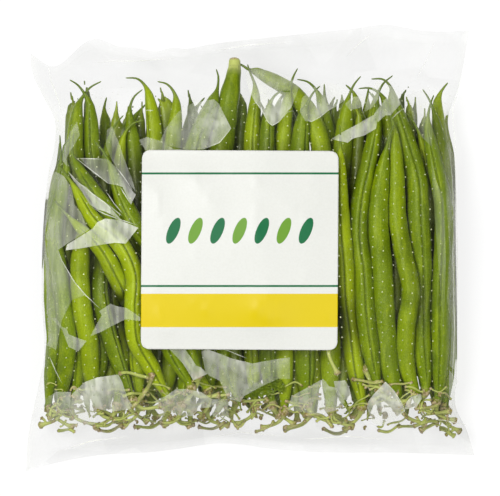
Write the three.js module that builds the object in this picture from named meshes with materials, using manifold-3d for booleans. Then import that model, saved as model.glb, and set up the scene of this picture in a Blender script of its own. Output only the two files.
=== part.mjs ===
// Clear film bag of fine green beans, about 400 g, lying on its back.
// Millimetres. +X runs across the bag, +Y from the stalk ends to the tips, and +Z
// up from the surface that the bag lies on. The origin is under the bag's middle.
import * as THREE from "three";
import { mergeVertices } from "three/addons/utils/BufferGeometryUtils.js";
import Module from "manifold-3d";

const wasm = await Module();
wasm.setup();

// Driving dimensions of the bag
const FILM = 0.6; // wall of the bag
const SIDE_FILM = 0.84; // its wall at the side folds
const CLEAR = 0.35; // space left between neighbouring pieces
const FILM_CLEAR = 1.15; // space kept between the beans and the smooth inner wall
const END_CLEAR = 2.4; // the same at the ends of the room inside
const HALF_LENGTH = 80; // from the middle of the bag to the edge of its end seals
const SEAL = 0.945; // share of that length where the two films meet
const TOP_RISE = 26; // height of the front film over the side folds
const BOTTOM_DROP = 22; // depth of the back film under them, before the floor flattens it
const FOLD_HEIGHT = 16.5; // side folds over the floor
const EDGE_HEIGHT = 5.5; // end seals over the floor
const EDGE_WAVE = 2.6; // rise and fall of the end seals
const ROUND = 2.6; // exponent of the bag's rounded section: 2 is an ellipse
const ROUND_POINTS = 36; // points round each section
const VENT_SIZE = 1.1; // needle holes in the front film

// Outline of the lying bag, seen from above. The sides are [share of the length, x],
// and the ends are [share of the width, y].
const LEFT_SIDE = [
  [-1, -88], [-0.86, -87], [-0.66, -83], [-0.5, -80.5], [-0.24, -81.5], [0.09, -81],
  [0.36, -79], [0.51, -76.5], [0.65, -76.5], [0.75, -80.5], [0.9, -85.5], [1, -86],
];
const RIGHT_SIDE = [
  [-1, 88], [-0.88, 85], [-0.76, 80.5], [-0.62, 81], [-0.3, 81], [0.08, 80.5],
  [0.45, 80], [0.63, 77.5], [0.78, 82], [1, 86],
];
const TOP_END = [
  [-1, 77], [-0.89, 72], [-0.76, 81], [-0.7, 83], [-0.6, 80], [-0.52, 79.5],
  [-0.43, 78], [-0.36, 79.5], [-0.29, 79], [-0.16, 81], [0.16, 84], [0.48, 87],
  [0.62, 88.5], [0.8, 86], [1, 86],
];
const BOTTOM_END = [
  [-1, -87], [-0.86, -83.5], [-0.67, -80.5], [-0.47, -79.5], [-0.32, -78], [-0.16, -76],
  [-0.03, -76.5], [0.08, -78], [0.32, -79.5], [0.64, -79.5], [1, -80.5],
];
// Rings of the bag, as shares of its half length
const RINGS = [
  -1, -0.96, -0.93, -0.88, -0.8, -0.68, -0.5, -0.25, 0, 0.25, 0.5, 0.68, 0.8, 0.88, 0.93, 0.96, 1,
];

const INNER_RINGS = RINGS.filter((along) => Math.abs(along) < SEAL);

// Label: a sticker on the front film
const LABEL = { x: -4, y: 0, width: 76.5, height: 77.5, corner: 3, thickness: 0.6, turn: -0.006 };
const LABEL_STEPS = 6;

// Chains of a bean's nodes, from the cut end of its stalk to the tip of its beak: radii
// of the stalk and neck in mm, of the pod as shares of half its width, and of the beak
const FULL_CHAIN = {
  stalk: [0.75, 0.7, 1.35],
  pod: [0.6, 0.9, 1, 1, 1, 0.98, 0.86, 0.55],
  beak: [0.95, 0.6, 0.35],
  sides: 6,
};
const BACK_CHAIN = { stalk: [0.75, 1.35], pod: [0.65, 0.97, 1, 1, 0.93, 0.6], beak: [0.9, 0.4], sides: 6 };
const INNER_CHAIN = { ...BACK_CHAIN, sides: 5 };
const NECK = 3; // length of the neck, at the pod's stalk end
const STALK = [4.5, 8]; // lengths of the stalk up to its bend and past it
const STUB = [1.5, 1.5]; // the same for a bean whose stalk is broken off
const BEAK = [5, 4.5, 4.5]; // lengths of the beak's stretches
const BEAK_TURNS = [0.15, 0.6, 1.15]; // how much of its turn each of them has

// Beans that show through the front film. path runs from the stalk end to the tip, in
// plan; level 1 lies under level 2, and so on; beak and sweep turn the beak and stalk.
const FRONT_BEANS = [
  { path: [[75, -60], [76, -20], [75.5, 18], [72, 50]], width: 6.2, level: 2, beak: 20, sweep: -60 },
  {
    path: [[75, -61], [72, -43], [69.5, -14], [73, 10], [68, 41]],
    width: 5.8, level: 1, beak: 25, sweep: 50,
  },
  { path: [[68, -55], [65, -19], [60, 17], [51, 57]], width: 7.8, level: 3, beak: 60, sweep: -70 },
  { path: [[57, -58], [53, -30], [49, 4], [52, 37]], width: 6.8, level: 2, beak: -10, sweep: 60 },
  { path: [[35, -60], [35.5, -25], [37, 12], [41, 56]], width: 7.4, level: 2, beak: -30, sweep: 75 },
  { path: [[49.5, -52], [42, -12], [43, 17], [48.5, 49]], width: 6.8, level: 3, beak: 40, sweep: 70 },
  {
    path: [[61, -58], [55, -40], [57.5, -18], [54, 10], [53, 45]],
    width: 6.4, level: 2, beak: 30, sweep: 80,
  },
  { path: [[45, -60], [39.5, -31], [34, 0], [33, 35]], width: 6.8, level: 2, beak: 10, sweep: -60 },
  { path: [[70, -58], [69, -30], [68, 10], [61, 47]], width: 6.5, level: 2, beak: -20, sweep: 70 },
  { path: [[57, -48], [60, 0], [61, 30], [57, 56]], width: 6.6, level: 1, beak: 75, sweep: -50 },
  { path: [[44, -44], [46, 20], [47.5, 57]], width: 6.8, level: 1, beak: -40, sweep: 60 },
  { path: [[-70, -60], [-75, -25], [-76, 2], [-75, 28]], width: 6.6, level: 2, beak: 0, sweep: 60 },
  { path: [[-77, -62], [-76, -44], [-73, -10], [-69, 30]], width: 5.6, level: 1, beak: 20, sweep: 70 },
  { path: [[-67, -55], [-67, 0], [-66, 35], [-63.5, 57]], width: 7, level: 1, beak: -50, sweep: -70 },
  { path: [[-60, -58], [-59, 0], [-59, 40], [-59.5, 53]], width: 6.6, level: 1, beak: 50, sweep: 60 },
  { path: [[-25, -53], [-43, -22], [-60, 10], [-72, 31]], width: 6.4, level: 4, beak: -25, sweep: 60 },
  { path: [[-22, -56], [-42, -32], [-57, -18], [-72, 8]], width: 6.6, level: 4, beak: 10, sweep: -80 },
  { path: [[-31, -58], [-46, -20], [-57, 0], [-64, 24]], width: 6.4, level: 3, beak: 30, sweep: 70 },
  { path: [[-27, -50], [-37, -23], [-50, 0], [-58, 28]], width: 6.6, level: 3, beak: 20, sweep: -60 },
  { path: [[-72, -60], [-69.5, -40], [-67, -10], [-68, 32]], width: 6.2, level: 2, beak: -40, sweep: -70 },
  { path: [[-57.5, -59], [-61, -37], [-63, -15], [-63, 22]], width: 6.6, level: 2, beak: 25, sweep: 75 },
  { path: [[-54, -58], [-55, -25], [-56, 5], [-53, 42]], width: 6, level: 1, beak: -60, sweep: -60 },
  {
    path: [[-43, -57], [-48, -43], [-53, -22], [-54, 5], [-51, 40]],
    width: 5.8, level: 2, beak: -30, sweep: 80,
  },
  {
    path: [[-7.5, 67.5], [-11, 47], [-14, 0], [-11, -42]],
    width: 7.6, level: 2, beak: 20, sweep: 10, stub: true,
  },
  { path: [[-24, -57], [-26, 0], [-22.5, 42], [-15, 61]], width: 8.6, level: 2, beak: 45, sweep: -70 },
  { path: [[-35, -59], [-32, 0], [-30, 42], [-28, 57]], width: 6.6, level: 1, beak: 75, sweep: 75 },
  { path: [[-46, -60], [-42, 0], [-38, 42], [-40, 60]], width: 6.4, level: 2, beak: 80, sweep: -60 },
  { path: [[-50, -56], [-48, 0], [-46, 33], [-48, 51]], width: 6.4, level: 1, beak: -50, sweep: 60 },
  { path: [[40, -34], [37, 8], [33, 35], [22, 58], [4, 69]], width: 6.8, level: 3, beak: 10, sweep: 30 },
  { path: [[16, -59], [14, 0], [13.5, 42], [15, 61]], width: 6.6, level: 2, beak: -20, sweep: -75 },
  { path: [[30, -58], [29, 0], [30, 42], [27, 58]], width: 6.5, level: 1, beak: 60, sweep: 60 },
  { path: [[22, -58], [21, 0], [21.5, 38], [24, 53]], width: 8, level: 2, beak: -35, sweep: 70 },
  { path: [[-2, -58], [-3, 0], [-2, 40], [1, 60]], width: 6.6, level: 1, beak: 30, sweep: -65 },
  { path: [[7, -60], [5, 0], [6, 36], [7, 52]], width: 6.8, level: 2, beak: -70, sweep: 60 },
  { path: [[-15, -60], [-17, -20], [-18, 15], [-17, 44]], width: 6.6, level: 1, beak: 35, sweep: 70 },
  { path: [[26, -62], [28, -30], [26, 5], [27, 42]], width: 6.2, level: 1, beak: -15, sweep: -70 },
];

// Beans against the back film, and those between, laid by rule
const BACK_COUNT = 16;
const INNER_COLUMNS = 18;
const INNER_LAYERS = 2;
const BUNCH_COLUMNS = 3; // columns of inner beans in each bunch
const ROW_HALF_WIDTH = 69.5;
const LAYER_START = { back: 5, inner: 13, innerStep: 8.5, front: 31, frontStep: 7.5 };

// How the heap settles
const STEPS = 520;
const START_SWELL = 1.45; // the bag's depth at the start, over its real depth
const STIFFNESS = 0.22; // pull of each bean to its own form
const PUSH = 0.6; // share of an overlap that each of two beans gives way by
const LENGTH_KEEP = 0.35; // pull of each stretch to its own length
const END_ROOM = 0.3; // least room between the films at the ends
const END_PUSH = 0.4; // step by which a node with less room is moved inwards
const SIDE_SHARE = 0.97; // how near the side folds the beans may come
const HOLD_PLAN = 0.05; // pull of the front beans back to their places in plan
const SINK = 1.1; // how far the pods of one bunch lie in each other
const POD_MEETS_POD = 4; // sum of radii past which both of two meeting stretches are pods

// Small helpers
const mix = (a, b, t) => a + (b - a) * t;
const clamp = (x, low, high) => Math.min(high, Math.max(low, x));
const smooth = (x, from, to) => {
  const t = clamp((x - from) / (to - from), 0, 1);
  return t * t * (3 - 2 * t);
};

function seededRandom(seed) {
  let state = seed;
  return () => {
    state = (state + 0x6d2b79f5) | 0;
    let t = Math.imul(state ^ (state >>> 15), 1 | state);
    t = (t + Math.imul(t ^ (t >>> 7), 61 | t)) ^ t;
    return ((t ^ (t >>> 14)) >>> 0) / 4294967296;
  };
}

// A smooth curve through [t, value] points
function curveThrough(points) {
  const slope = points.map((_, i) => {
    const [a, b] = [points[Math.max(0, i - 1)], points[Math.min(points.length - 1, i + 1)]];
    return (b[1] - a[1]) / (b[0] - a[0]);
  });
  return (t) => {
    const x = clamp(t, points[0][0], points[points.length - 1][0]);
    let i = 0;
    while (i < points.length - 2 && x > points[i + 1][0]) i++;
    const span = points[i + 1][0] - points[i][0];
    const s = (x - points[i][0]) / span;
    const h = s * s * (3 - 2 * s);
    return (
      mix(points[i][1], points[i + 1][1], h) +
      span * (s * (1 - s) * (1 - s) * slope[i] - s * s * (1 - s) * slope[i + 1])
    );
  };
}

// The bag's form: across is -1 to 1 from side to side, along is -1 to 1 from end to end
const leftSide = curveThrough(LEFT_SIDE);
const rightSide = curveThrough(RIGHT_SIDE);
const topEnd = curveThrough(TOP_END);
const bottomEnd = curveThrough(BOTTOM_END);
const halfWidth = (along) => (rightSide(along) - leftSide(along)) / 2;
const middleX = (along) => (rightSide(along) + leftSide(along)) / 2;

// Place lengthwise of a point of the bag
function planY(across, along) {
  const end = along > 0 ? topEnd(across) - HALF_LENGTH : bottomEnd(across) + HALF_LENGTH;
  return along * HALF_LENGTH + along ** 4 * end;
}

// Height of the side folds and of the end seals
function foldHeight(across, along) {
  const toEdge = smooth(Math.abs(along), 0.5, 1);
  const wave = EDGE_WAVE * Math.sin(5.2 * across + (along > 0 ? 1.1 : 3.9)) * toEdge;
  return mix(FOLD_HEIGHT, EDGE_HEIGHT, toEdge) + wave;
}

// How far the films stand apart, as a share of their distance at the middle
function fullness(along) {
  const share = Math.abs(along) / SEAL;
  return share >= 1 ? 0 : (1 - share ** 4.5) ** 0.62;
}

// Fullness of the inside, straight from ring to ring as the film's faces are
function roomAt(along) {
  const next = Math.max(1, INNER_RINGS.findIndex((ring) => ring >= along));
  const [from, to] = [INNER_RINGS[next - 1], INNER_RINGS[next]];
  return mix(fullness(from), fullness(to), (along - from) / (to - from));
}

// Vertical thickness of a wall of the film where the bag slopes to its ends
function wallHeight(rise, along) {
  const step = 0.01;
  const slope = (rise * (fullness(along + step) - fullness(along - step))) / (2 * step * HALF_LENGTH);
  return FILM * Math.min(2.4, Math.sqrt(1 + slope * slope));
}

// A point of the bag's wall; angle runs round the section from the right side fold
function bagPoint(angle, along, inside) {
  const power = 2 / ROUND;
  const across = Math.sign(Math.cos(angle)) * Math.abs(Math.cos(angle)) ** power;
  const up = Math.abs(Math.sin(angle)) ** power;
  const rise = Math.sin(angle) > 0 ? TOP_RISE : BOTTOM_DROP;
  const depth = rise * fullness(along) + (inside ? 0 : wallHeight(rise, along));
  const half = halfWidth(along) - (inside ? SIDE_FILM : 0);
  const z = foldHeight(across, along) + Math.sign(Math.sin(angle)) * depth * up;
  return [middleX(along) + across * half, planY(across, along), Math.max(z, inside ? FILM : 0)];
}

// Solids
function solidFrom(positions, triangles) {
  const geometry = new THREE.BufferGeometry();
  geometry.setAttribute("position", new THREE.Float32BufferAttribute(positions, 3));
  geometry.setIndex(triangles);
  const merged = mergeVertices(geometry, 1e-4);
  return new wasm.Manifold(
    new wasm.Mesh({
      numProp: 3,
      vertProperties: new Float32Array(merged.attributes.position.array),
      triVerts: new Uint32Array(merged.index.array),
    }),
  );
}

// A solid from a closed three.js geometry
function solidOf(geometry) {
  const flat = geometry.index ? geometry.toNonIndexed() : geometry;
  const positions = [...flat.attributes.position.array];
  return solidFrom(positions, positions.slice(0, positions.length / 3).map((_, i) => i));
}

function geometryOf(solid) {
  const mesh = solid.getMesh();
  const geometry = new THREE.BufferGeometry();
  geometry.setAttribute("position", new THREE.BufferAttribute(mesh.vertProperties, 3));
  geometry.setIndex(new THREE.BufferAttribute(mesh.triVerts, 1));
  geometry.computeVertexNormals();
  return geometry;
}

// Pushes a four-sided face as triangles, leaving out those with no area
function pushQuad(triangles, a, b, c, d) {
  if (a !== b && b !== c && a !== c) triangles.push(a, b, c);
  if (a !== c && c !== d && a !== d) triangles.push(a, c, d);
}

// The closed tube of the bag's outside or inside, with a strip across each end
function bagSurface(rings, inside) {
  const angles = Array.from({ length: ROUND_POINTS }, (_, i) => (2 * Math.PI * i) / ROUND_POINTS);
  const positions = rings.flatMap((along) => angles.flatMap((angle) => bagPoint(angle, along, inside)));
  const triangles = [];
  const at = (ring, i) => ring * ROUND_POINTS + (i % ROUND_POINTS);
  const last = rings.length - 1;
  for (let i = 0; i < ROUND_POINTS; i++)
    for (let ring = 0; ring < last; ring++)
      pushQuad(triangles, at(ring, i), at(ring + 1, i), at(ring + 1, i + 1), at(ring, i + 1));
  for (let i = 0; i < ROUND_POINTS / 2; i++) {
    const [front, next] = [i, i + 1];
    const [back, backNext] = [ROUND_POINTS - i, ROUND_POINTS - i - 1];
    pushQuad(triangles, at(0, front), at(0, next), at(0, backNext), at(0, back));
    pushQuad(triangles, at(last, back), at(last, backNext), at(last, next), at(last, front));
  }
  return solidFrom(positions, triangles);
}

// Shares of the bag's width and length at a place in plan
function shareAt(x, y) {
  let along = y / HALF_LENGTH;
  let across = 0;
  for (let round = 0; round < 4; round++) {
    across = clamp((x - middleX(along)) / halfWidth(along), -1, 1);
    along = clamp(along + (y - planY(across, along)) / HALF_LENGTH, -1, 1);
  }
  return [across, along];
}

// Height of the front film's outside at a place in plan
function frontHeight(x, y) {
  const [across, along] = shareAt(x, y);
  const up = (1 - Math.abs(across) ** ROUND) ** (1 / ROUND);
  return foldHeight(across, along) + (TOP_RISE * fullness(along) + wallHeight(TOP_RISE, along)) * up;
}

// Needle holes, as square pins through the front film on a row either side of the label
function ventPins() {
  const pins = [];
  for (const x of [-60, 60])
    for (const y of [-45, -15, 15, 45]) {
      const pin = new THREE.CylinderGeometry(VENT_SIZE / 2, VENT_SIZE / 2, 8, 4).toNonIndexed();
      pin.rotateX(Math.PI / 2);
      pin.translate(x, y, frontHeight(x, y));
      pins.push(solidOf(pin));
    }
  return pins;
}

// The bag, with a wall all round the room for the beans
function makeBag() {
  const outside = bagSurface(RINGS, false);
  const shell = outside.subtract(bagSurface(INNER_RINGS, true));
  return ventPins().reduce((bag, pin) => bag.subtract(pin), shell);
}

// The label: a slab that follows the front film, cut to a card with round corners
function makeLabel() {
  const { x, y, width, height, corner, thickness, turn } = LABEL;
  const steps = LABEL_STEPS;
  const positions = [];
  for (const lift of [CLEAR, CLEAR + thickness])
    for (let row = 0; row <= steps; row++)
      for (let column = 0; column <= steps; column++) {
        const [px, py] = [x + (column / steps - 0.5) * (width + 4), y + (row / steps - 0.5) * (height + 4)];
        positions.push(px, py, frontHeight(px, py) + lift);
      }
  const triangles = [];
  const side = steps + 1;
  const at = (top, row, column) => top * side * side + row * side + column;
  for (let i = 0; i < steps; i++) {
    for (let j = 0; j < steps; j++) {
      pushQuad(triangles, at(1, i, j), at(1, i, j + 1), at(1, i + 1, j + 1), at(1, i + 1, j));
      pushQuad(triangles, at(0, i, j), at(0, i + 1, j), at(0, i + 1, j + 1), at(0, i, j + 1));
    }
    pushQuad(triangles, at(0, 0, i), at(0, 0, i + 1), at(1, 0, i + 1), at(1, 0, i));
    pushQuad(triangles, at(0, steps, i + 1), at(0, steps, i), at(1, steps, i), at(1, steps, i + 1));
    pushQuad(triangles, at(0, i + 1, 0), at(0, i, 0), at(1, i, 0), at(1, i + 1, 0));
    pushQuad(triangles, at(0, i, steps), at(0, i + 1, steps), at(1, i + 1, steps), at(1, i, steps));
  }
  const [w, h] = [width / 2 - corner, height / 2 - corner];
  const outline = new THREE.Shape();
  outline.absarc(w, h, corner, 0, Math.PI / 2);
  outline.absarc(-w, h, corner, Math.PI / 2, Math.PI);
  outline.absarc(-w, -h, corner, Math.PI, 1.5 * Math.PI);
  outline.absarc(w, -h, corner, 1.5 * Math.PI, 2 * Math.PI);
  outline.closePath();
  const card = new THREE.ExtrudeGeometry(outline, { depth: 100, bevelEnabled: false, curveSegments: 3 });
  card.rotateZ(turn);
  card.translate(x, y, 0);
  return solidFrom(positions, triangles).intersect(solidOf(card));
}

// A direction in plan, turned to the left
function turned(direction, degrees) {
  return direction.clone().applyAxisAngle(new THREE.Vector3(0, 0, 1), THREE.MathUtils.degToRad(degrees));
}

// A bean's chain of nodes, from the cut end of its stalk to the tip of its beak
function beanChain({ path, width, beak, sweep, stub, bow = 0 }, layout, height) {
  const line = new THREE.CatmullRomCurve3(path.map(([x, y]) => new THREE.Vector3(x, y, height)));
  const pod = line.getSpacedPoints(layout.pod.length - 1);
  pod.forEach((p, i) => (p.z += bow * Math.sin((Math.PI * i) / (pod.length - 1))));
  const [first, last] = [pod[0], pod[pod.length - 1]];
  const down = first.clone().sub(pod[1]).setZ(0).normalize();
  const up = last.clone().sub(pod[pod.length - 2]).setZ(0).normalize();
  const [bend, end] = stub ? STUB : STALK;
  const neck = first.clone().addScaledVector(down, NECK);
  const stalk = neck.clone().addScaledVector(turned(down, sweep * 0.45), bend);
  const cut = stalk.clone().addScaledVector(turned(down, sweep), end);
  const base = layout.stalk.length > 2 ? [cut, stalk, neck] : [stalk.lerp(cut, 0.3), neck];
  const beakNodes = layout.beak.map(() => last.clone());
  beakNodes.forEach((node, i) => {
    if (i > 0) node.copy(beakNodes[i - 1]);
    node.addScaledVector(turned(up, beak * BEAK_TURNS[i]), BEAK[i]);
  });
  return {
    layout,
    podFirst: base.length,
    nodes: [...base, ...pod, ...beakNodes].map((p) => p.toArray()),
    radii: [...layout.stalk, ...layout.pod.map((share) => (share * width) / 2), ...layout.beak],
  };
}

// All the beans of the heap: name, chain, whether it is held in plan, and its bunch
function makeHeap() {
  const random = seededRandom(41);
  const spread = (range) => (random() * 2 - 1) * range;
  const straightish = (x, width) => {
    const [lean, bend, middle] = [spread(5), spread(3.5), spread(2)];
    const [low, high] = [-57 + spread(3), 51 + spread(5)];
    return {
      path: [
        [x - lean, low],
        [x - lean / 2 + bend, -18 + middle],
        [x + lean / 2 + bend, 16 + middle],
        [x + lean, high],
      ],
      width,
      beak: spread(75),
      sweep: spread(85),
      bow: spread(1.5),
    };
  };
  const heap = [];
  FRONT_BEANS.forEach((bean, i) => {
    const height = LAYER_START.front + (bean.level - 1) * LAYER_START.frontStep;
    heap.push({ name: "front_bean_" + (i + 1), held: true, ...beanChain(bean, FULL_CHAIN, height) });
  });
  for (let i = 0; i < BACK_COUNT; i++) {
    const x = mix(-ROW_HALF_WIDTH + 4, ROW_HALF_WIDTH - 4, i / (BACK_COUNT - 1));
    const bean = beanChain(straightish(x, 7 + spread(0.8)), BACK_CHAIN, LAYER_START.back);
    heap.push({ name: "back_bean_" + (i + 1), ...bean });
  }
  for (let layer = 0; layer < INNER_LAYERS; layer++)
    for (let column = 0; column < INNER_COLUMNS; column++) {
      const stagger = layer * 0.5 - 0.25;
      const x = mix(-ROW_HALF_WIDTH, ROW_HALF_WIDTH, (column + stagger) / (INNER_COLUMNS - 1));
      const height = LAYER_START.inner + layer * LAYER_START.innerStep;
      const bunch = Math.floor(column / BUNCH_COLUMNS);
      // A snake through the bunch, along one layer and back along the next
      const place = column % BUNCH_COLUMNS;
      const order = layer * BUNCH_COLUMNS + (layer ? BUNCH_COLUMNS - 1 - place : place);
      heap.push({ bunch, order, ...beanChain(straightish(x, 7 + spread(0.7)), INNER_CHAIN, height) });
    }
  return heap;
}

// Where two stretches of chain come nearest: their shares, and the way and distance there
const near = { s: 0, t: 0, x: 0, y: 0, z: 0, distance: 0 };
function nearest(a, b, c, d) {
  const [ux, uy, uz] = [b[0] - a[0], b[1] - a[1], b[2] - a[2]];
  const [vx, vy, vz] = [d[0] - c[0], d[1] - c[1], d[2] - c[2]];
  const [wx, wy, wz] = [a[0] - c[0], a[1] - c[1], a[2] - c[2]];
  const uu = ux * ux + uy * uy + uz * uz;
  const vv = vx * vx + vy * vy + vz * vz;
  const uv = ux * vx + uy * vy + uz * vz;
  const uw = ux * wx + uy * wy + uz * wz;
  const vw = vx * wx + vy * wy + vz * wz;
  const cross = uu * vv - uv * uv;
  let s = cross > 1e-9 ? clamp((uv * vw - vv * uw) / cross, 0, 1) : 0.5;
  const t = clamp((uv * s + vw) / vv, 0, 1);
  s = clamp((uv * t - uw) / uu, 0, 1);
  near.s = s;
  near.t = t;
  near.x = wx + ux * s - vx * t;
  near.y = wy + uy * s - vy * t;
  near.z = wz + uz * s - vz * t;
  near.distance = Math.sqrt(near.x ** 2 + near.y ** 2 + near.z ** 2);
}

// Moves the ends of a stretch so that its point at share moves by amount along near
function shift(a, b, share, amount) {
  const scale = amount / ((share * share + (1 - share) * (1 - share)) * Math.max(near.distance, 1e-6));
  for (const [node, weight] of [[a, (1 - share) * scale], [b, share * scale]]) {
    node[0] += near.x * weight;
    node[1] += near.y * weight;
    node[2] += near.z * weight;
  }
}

const isFar = (p, q, reach) =>
  Math.abs(p[0] - q[0]) > reach || Math.abs(p[1] - q[1]) > reach || Math.abs(p[2] - q[2]) > reach;

// Moves two beans apart wherever they are too near each other
function partPair(one, two) {
  const sameBunch = one.bunch !== undefined && one.bunch === two.bunch;
  const space = sameBunch ? -SINK : CLEAR;
  for (let i = 0; i + 1 < one.nodes.length; i++) {
    for (let j = 0; j + 1 < two.nodes.length; j++) {
      const reach = one.reach[i] + two.reach[j] + CLEAR;
      const [p, q] = [one.middles[i], two.middles[j]];
      if (isFar(p, q, reach)) continue;
      const [a, b, c, d] = [one.nodes[i], one.nodes[i + 1], two.nodes[j], two.nodes[j + 1]];
      nearest(a, b, c, d);
      const radius = mix(one.radii[i], one.radii[i + 1], near.s);
      const radii = radius + mix(two.radii[j], two.radii[j + 1], near.t);
      const missing = radii + (radii > POD_MEETS_POD ? space : CLEAR) - near.distance;
      if (missing <= 0) continue;
      shift(a, b, near.s, missing * PUSH);
      shift(c, d, near.t, -missing * PUSH);
    }
  }
}

// Draws two neighbours of a bunch together at the middle of their pods
function tiePair(one, two) {
  const i = one.podFirst + 2;
  const [a, b, c, d] = [one.nodes[i], one.nodes[i + 1], two.nodes[i], two.nodes[i + 1]];
  nearest(a, b, c, d);
  const excess = near.distance - (one.radii[i] + two.radii[i] - SINK);
  if (excess <= 0) return;
  shift(a, b, near.s, -excess / 4);
  shift(c, d, near.t, excess / 4);
}

// Springs a bean back to its own form, wherever it has moved or leaned to
function reform(bean, stiffness) {
  const { nodes, form } = bean;
  const count = nodes.length;
  const middle = (count - 1) / 2;
  let spin = 0;
  nodes.forEach((_, k) => (spin += (k - middle) ** 2));
  for (let axis = 0; axis < 3; axis++) {
    let drift = 0;
    let lean = 0;
    nodes.forEach((node, k) => {
      drift += (node[axis] - form[k][axis]) / count;
      lean += ((node[axis] - form[k][axis]) * (k - middle)) / spin;
    });
    if (axis === 1) lean = 0;
    const keep = bean.held && axis < 2 ? 1 - HOLD_PLAN : 1;
    nodes.forEach((node, k) => {
      const goal = form[k][axis] + (drift + lean * (k - middle)) * keep;
      node[axis] += stiffness * (goal - node[axis]);
    });
  }
}

// Keeps a node inside the bag, whose depth is swelled while the heap is pressed
function contain(node, radius, swell) {
  const end = INNER_RINGS[INNER_RINGS.length - 1] - (radius + END_CLEAR) / HALF_LENGTH;
  const [across, place] = shareAt(node[0], node[1]);
  const along = clamp(place, -end, end);
  node[1] += (along - place) * HALF_LENGTH;
  const half = halfWidth(along) - SIDE_FILM - FILM_CLEAR - radius;
  const fold = foldHeight(across, along);
  const rise = node[2] > fold ? TOP_RISE : BOTTOM_DROP;
  const room = rise * roomAt(along) * swell - FILM_CLEAR - radius;
  if (room < END_ROOM) node[1] -= Math.sign(node[1]) * END_PUSH;
  const x = clamp((node[0] - middleX(along)) / half, -SIDE_SHARE, SIDE_SHARE);
  const depth = Math.max(room, END_ROOM) * (1 - Math.abs(x) ** ROUND) ** (1 / ROUND);
  node[0] = middleX(along) + x * half;
  node[2] = clamp(node[2], Math.max(fold - depth, FILM + FILM_CLEAR + radius), fold + depth);
}

// Brings the stretches of a chain back to their lengths
function keepLengths({ nodes, lengths }) {
  for (let k = 0; k + 1 < nodes.length; k++) {
    const [a, b] = [nodes[k], nodes[k + 1]];
    const length = Math.hypot(b[0] - a[0], b[1] - a[1], b[2] - a[2]);
    const share = (LENGTH_KEEP * (length - lengths[k])) / Math.max(length, 1e-6);
    for (let axis = 0; axis < 3; axis++) {
      const move = (b[axis] - a[axis]) * share;
      a[axis] += move / 2;
      b[axis] -= move / 2;
    }
  }
}

const stretches = (nodes) => nodes.slice(1).map((node, i) => [nodes[i], node]);
const distance = ([p, q]) => Math.hypot(p[0] - q[0], p[1] - q[1], p[2] - q[2]);

// Lets the heap settle: the beans spring back to form, part from each other and are
// pressed together as the bag closes in on them
function settle(heap) {
  for (const bean of heap) {
    bean.form = bean.nodes.map((node) => [...node]);
    bean.lengths = stretches(bean.nodes).map(distance);
  }
  const bunched = heap.filter((bean) => bean.bunch !== undefined);
  const isTied = (one, two) => one.bunch === two.bunch && two.order === one.order + 1;
  const ties = bunched.flatMap((one) => bunched.filter((two) => isTied(one, two)).map((two) => [one, two]));
  for (let step = 0; step < STEPS; step++) {
    const share = step / STEPS;
    const swell = mix(START_SWELL, 1, smooth(share, 0, 0.5));
    const stiffness = STIFFNESS * (1 - smooth(share, 0.5, 0.85));
    heap.forEach((bean) => reform(bean, stiffness));
    heap.forEach(keepLengths);
    ties.forEach(([one, two]) => tiePair(one, two));
    for (const bean of heap) {
      const parts = stretches(bean.nodes);
      bean.middles = parts.map(([p, q]) => p.map((value, axis) => (value + q[axis]) / 2));
      bean.reach = parts.map((ends, i) => distance(ends) / 2 + Math.max(bean.radii[i], bean.radii[i + 1]));
    }
    for (let i = 0; i < heap.length; i++)
      for (let j = i + 1; j < heap.length; j++) partPair(heap[i], heap[j]);
    for (const bean of heap) bean.nodes.forEach((node, k) => contain(node, bean.radii[k], swell));
  }
}

// A closed tube round a chain, pole to pole
function beanSolid({ nodes, radii, layout: { sides } }) {
  const centres = nodes.map((node) => new THREE.Vector3(...node));
  const last = centres.length - 1;
  const positions = [];
  centres.forEach((centre, k) => {
    const ahead = centres[Math.min(last, k + 1)].clone().sub(centres[Math.max(0, k - 1)]).normalize();
    const side = new THREE.Vector3(0, 0, 1).cross(ahead).normalize();
    const top = ahead.clone().cross(side);
    for (let i = 0; i < sides; i++) {
      const angle = (2 * Math.PI * i) / sides;
      const point = centre.clone().addScaledVector(side, radii[k] * Math.cos(angle));
      positions.push(...point.addScaledVector(top, radii[k] * Math.sin(angle)).toArray());
    }
  });
  const poles = [[0, 1], [last, last - 1]].map(([end, before]) => {
    const outward = centres[end].clone().sub(centres[before]).setLength(radii[end] / 2);
    positions.push(...centres[end].clone().add(outward).toArray());
    return positions.length / 3 - 1;
  });
  const triangles = [];
  const at = (ring, i) => ring * sides + (i % sides);
  for (let i = 0; i < sides; i++) {
    for (let ring = 0; ring < last; ring++)
      pushQuad(triangles, at(ring, i), at(ring, i + 1), at(ring + 1, i + 1), at(ring + 1, i));
    triangles.push(poles[0], at(0, i + 1), at(0, i));
    triangles.push(poles[1], at(last, i), at(last, i + 1));
  }
  return solidFrom(positions, triangles);
}

// The finished part
const POD_GREENS = [0x7da23a, 0x6f9a33, 0x86a944, 0x668f35];
const greens = POD_GREENS.map((color) => new THREE.MeshStandardMaterial({ color, roughness: 0.45 }));
const clearFilm = new THREE.MeshStandardMaterial({
  color: 0xf2f5f3,
  roughness: 0.15,
  transparent: true,
  opacity: 0.25,
});
const paper = new THREE.MeshStandardMaterial({ color: 0xf6f6f2, roughness: 0.5 });

const part = new THREE.Group();
function addPiece(name, solid, material) {
  const mesh = new THREE.Mesh(geometryOf(solid), material);
  mesh.name = name;
  part.add(mesh);
}

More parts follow.
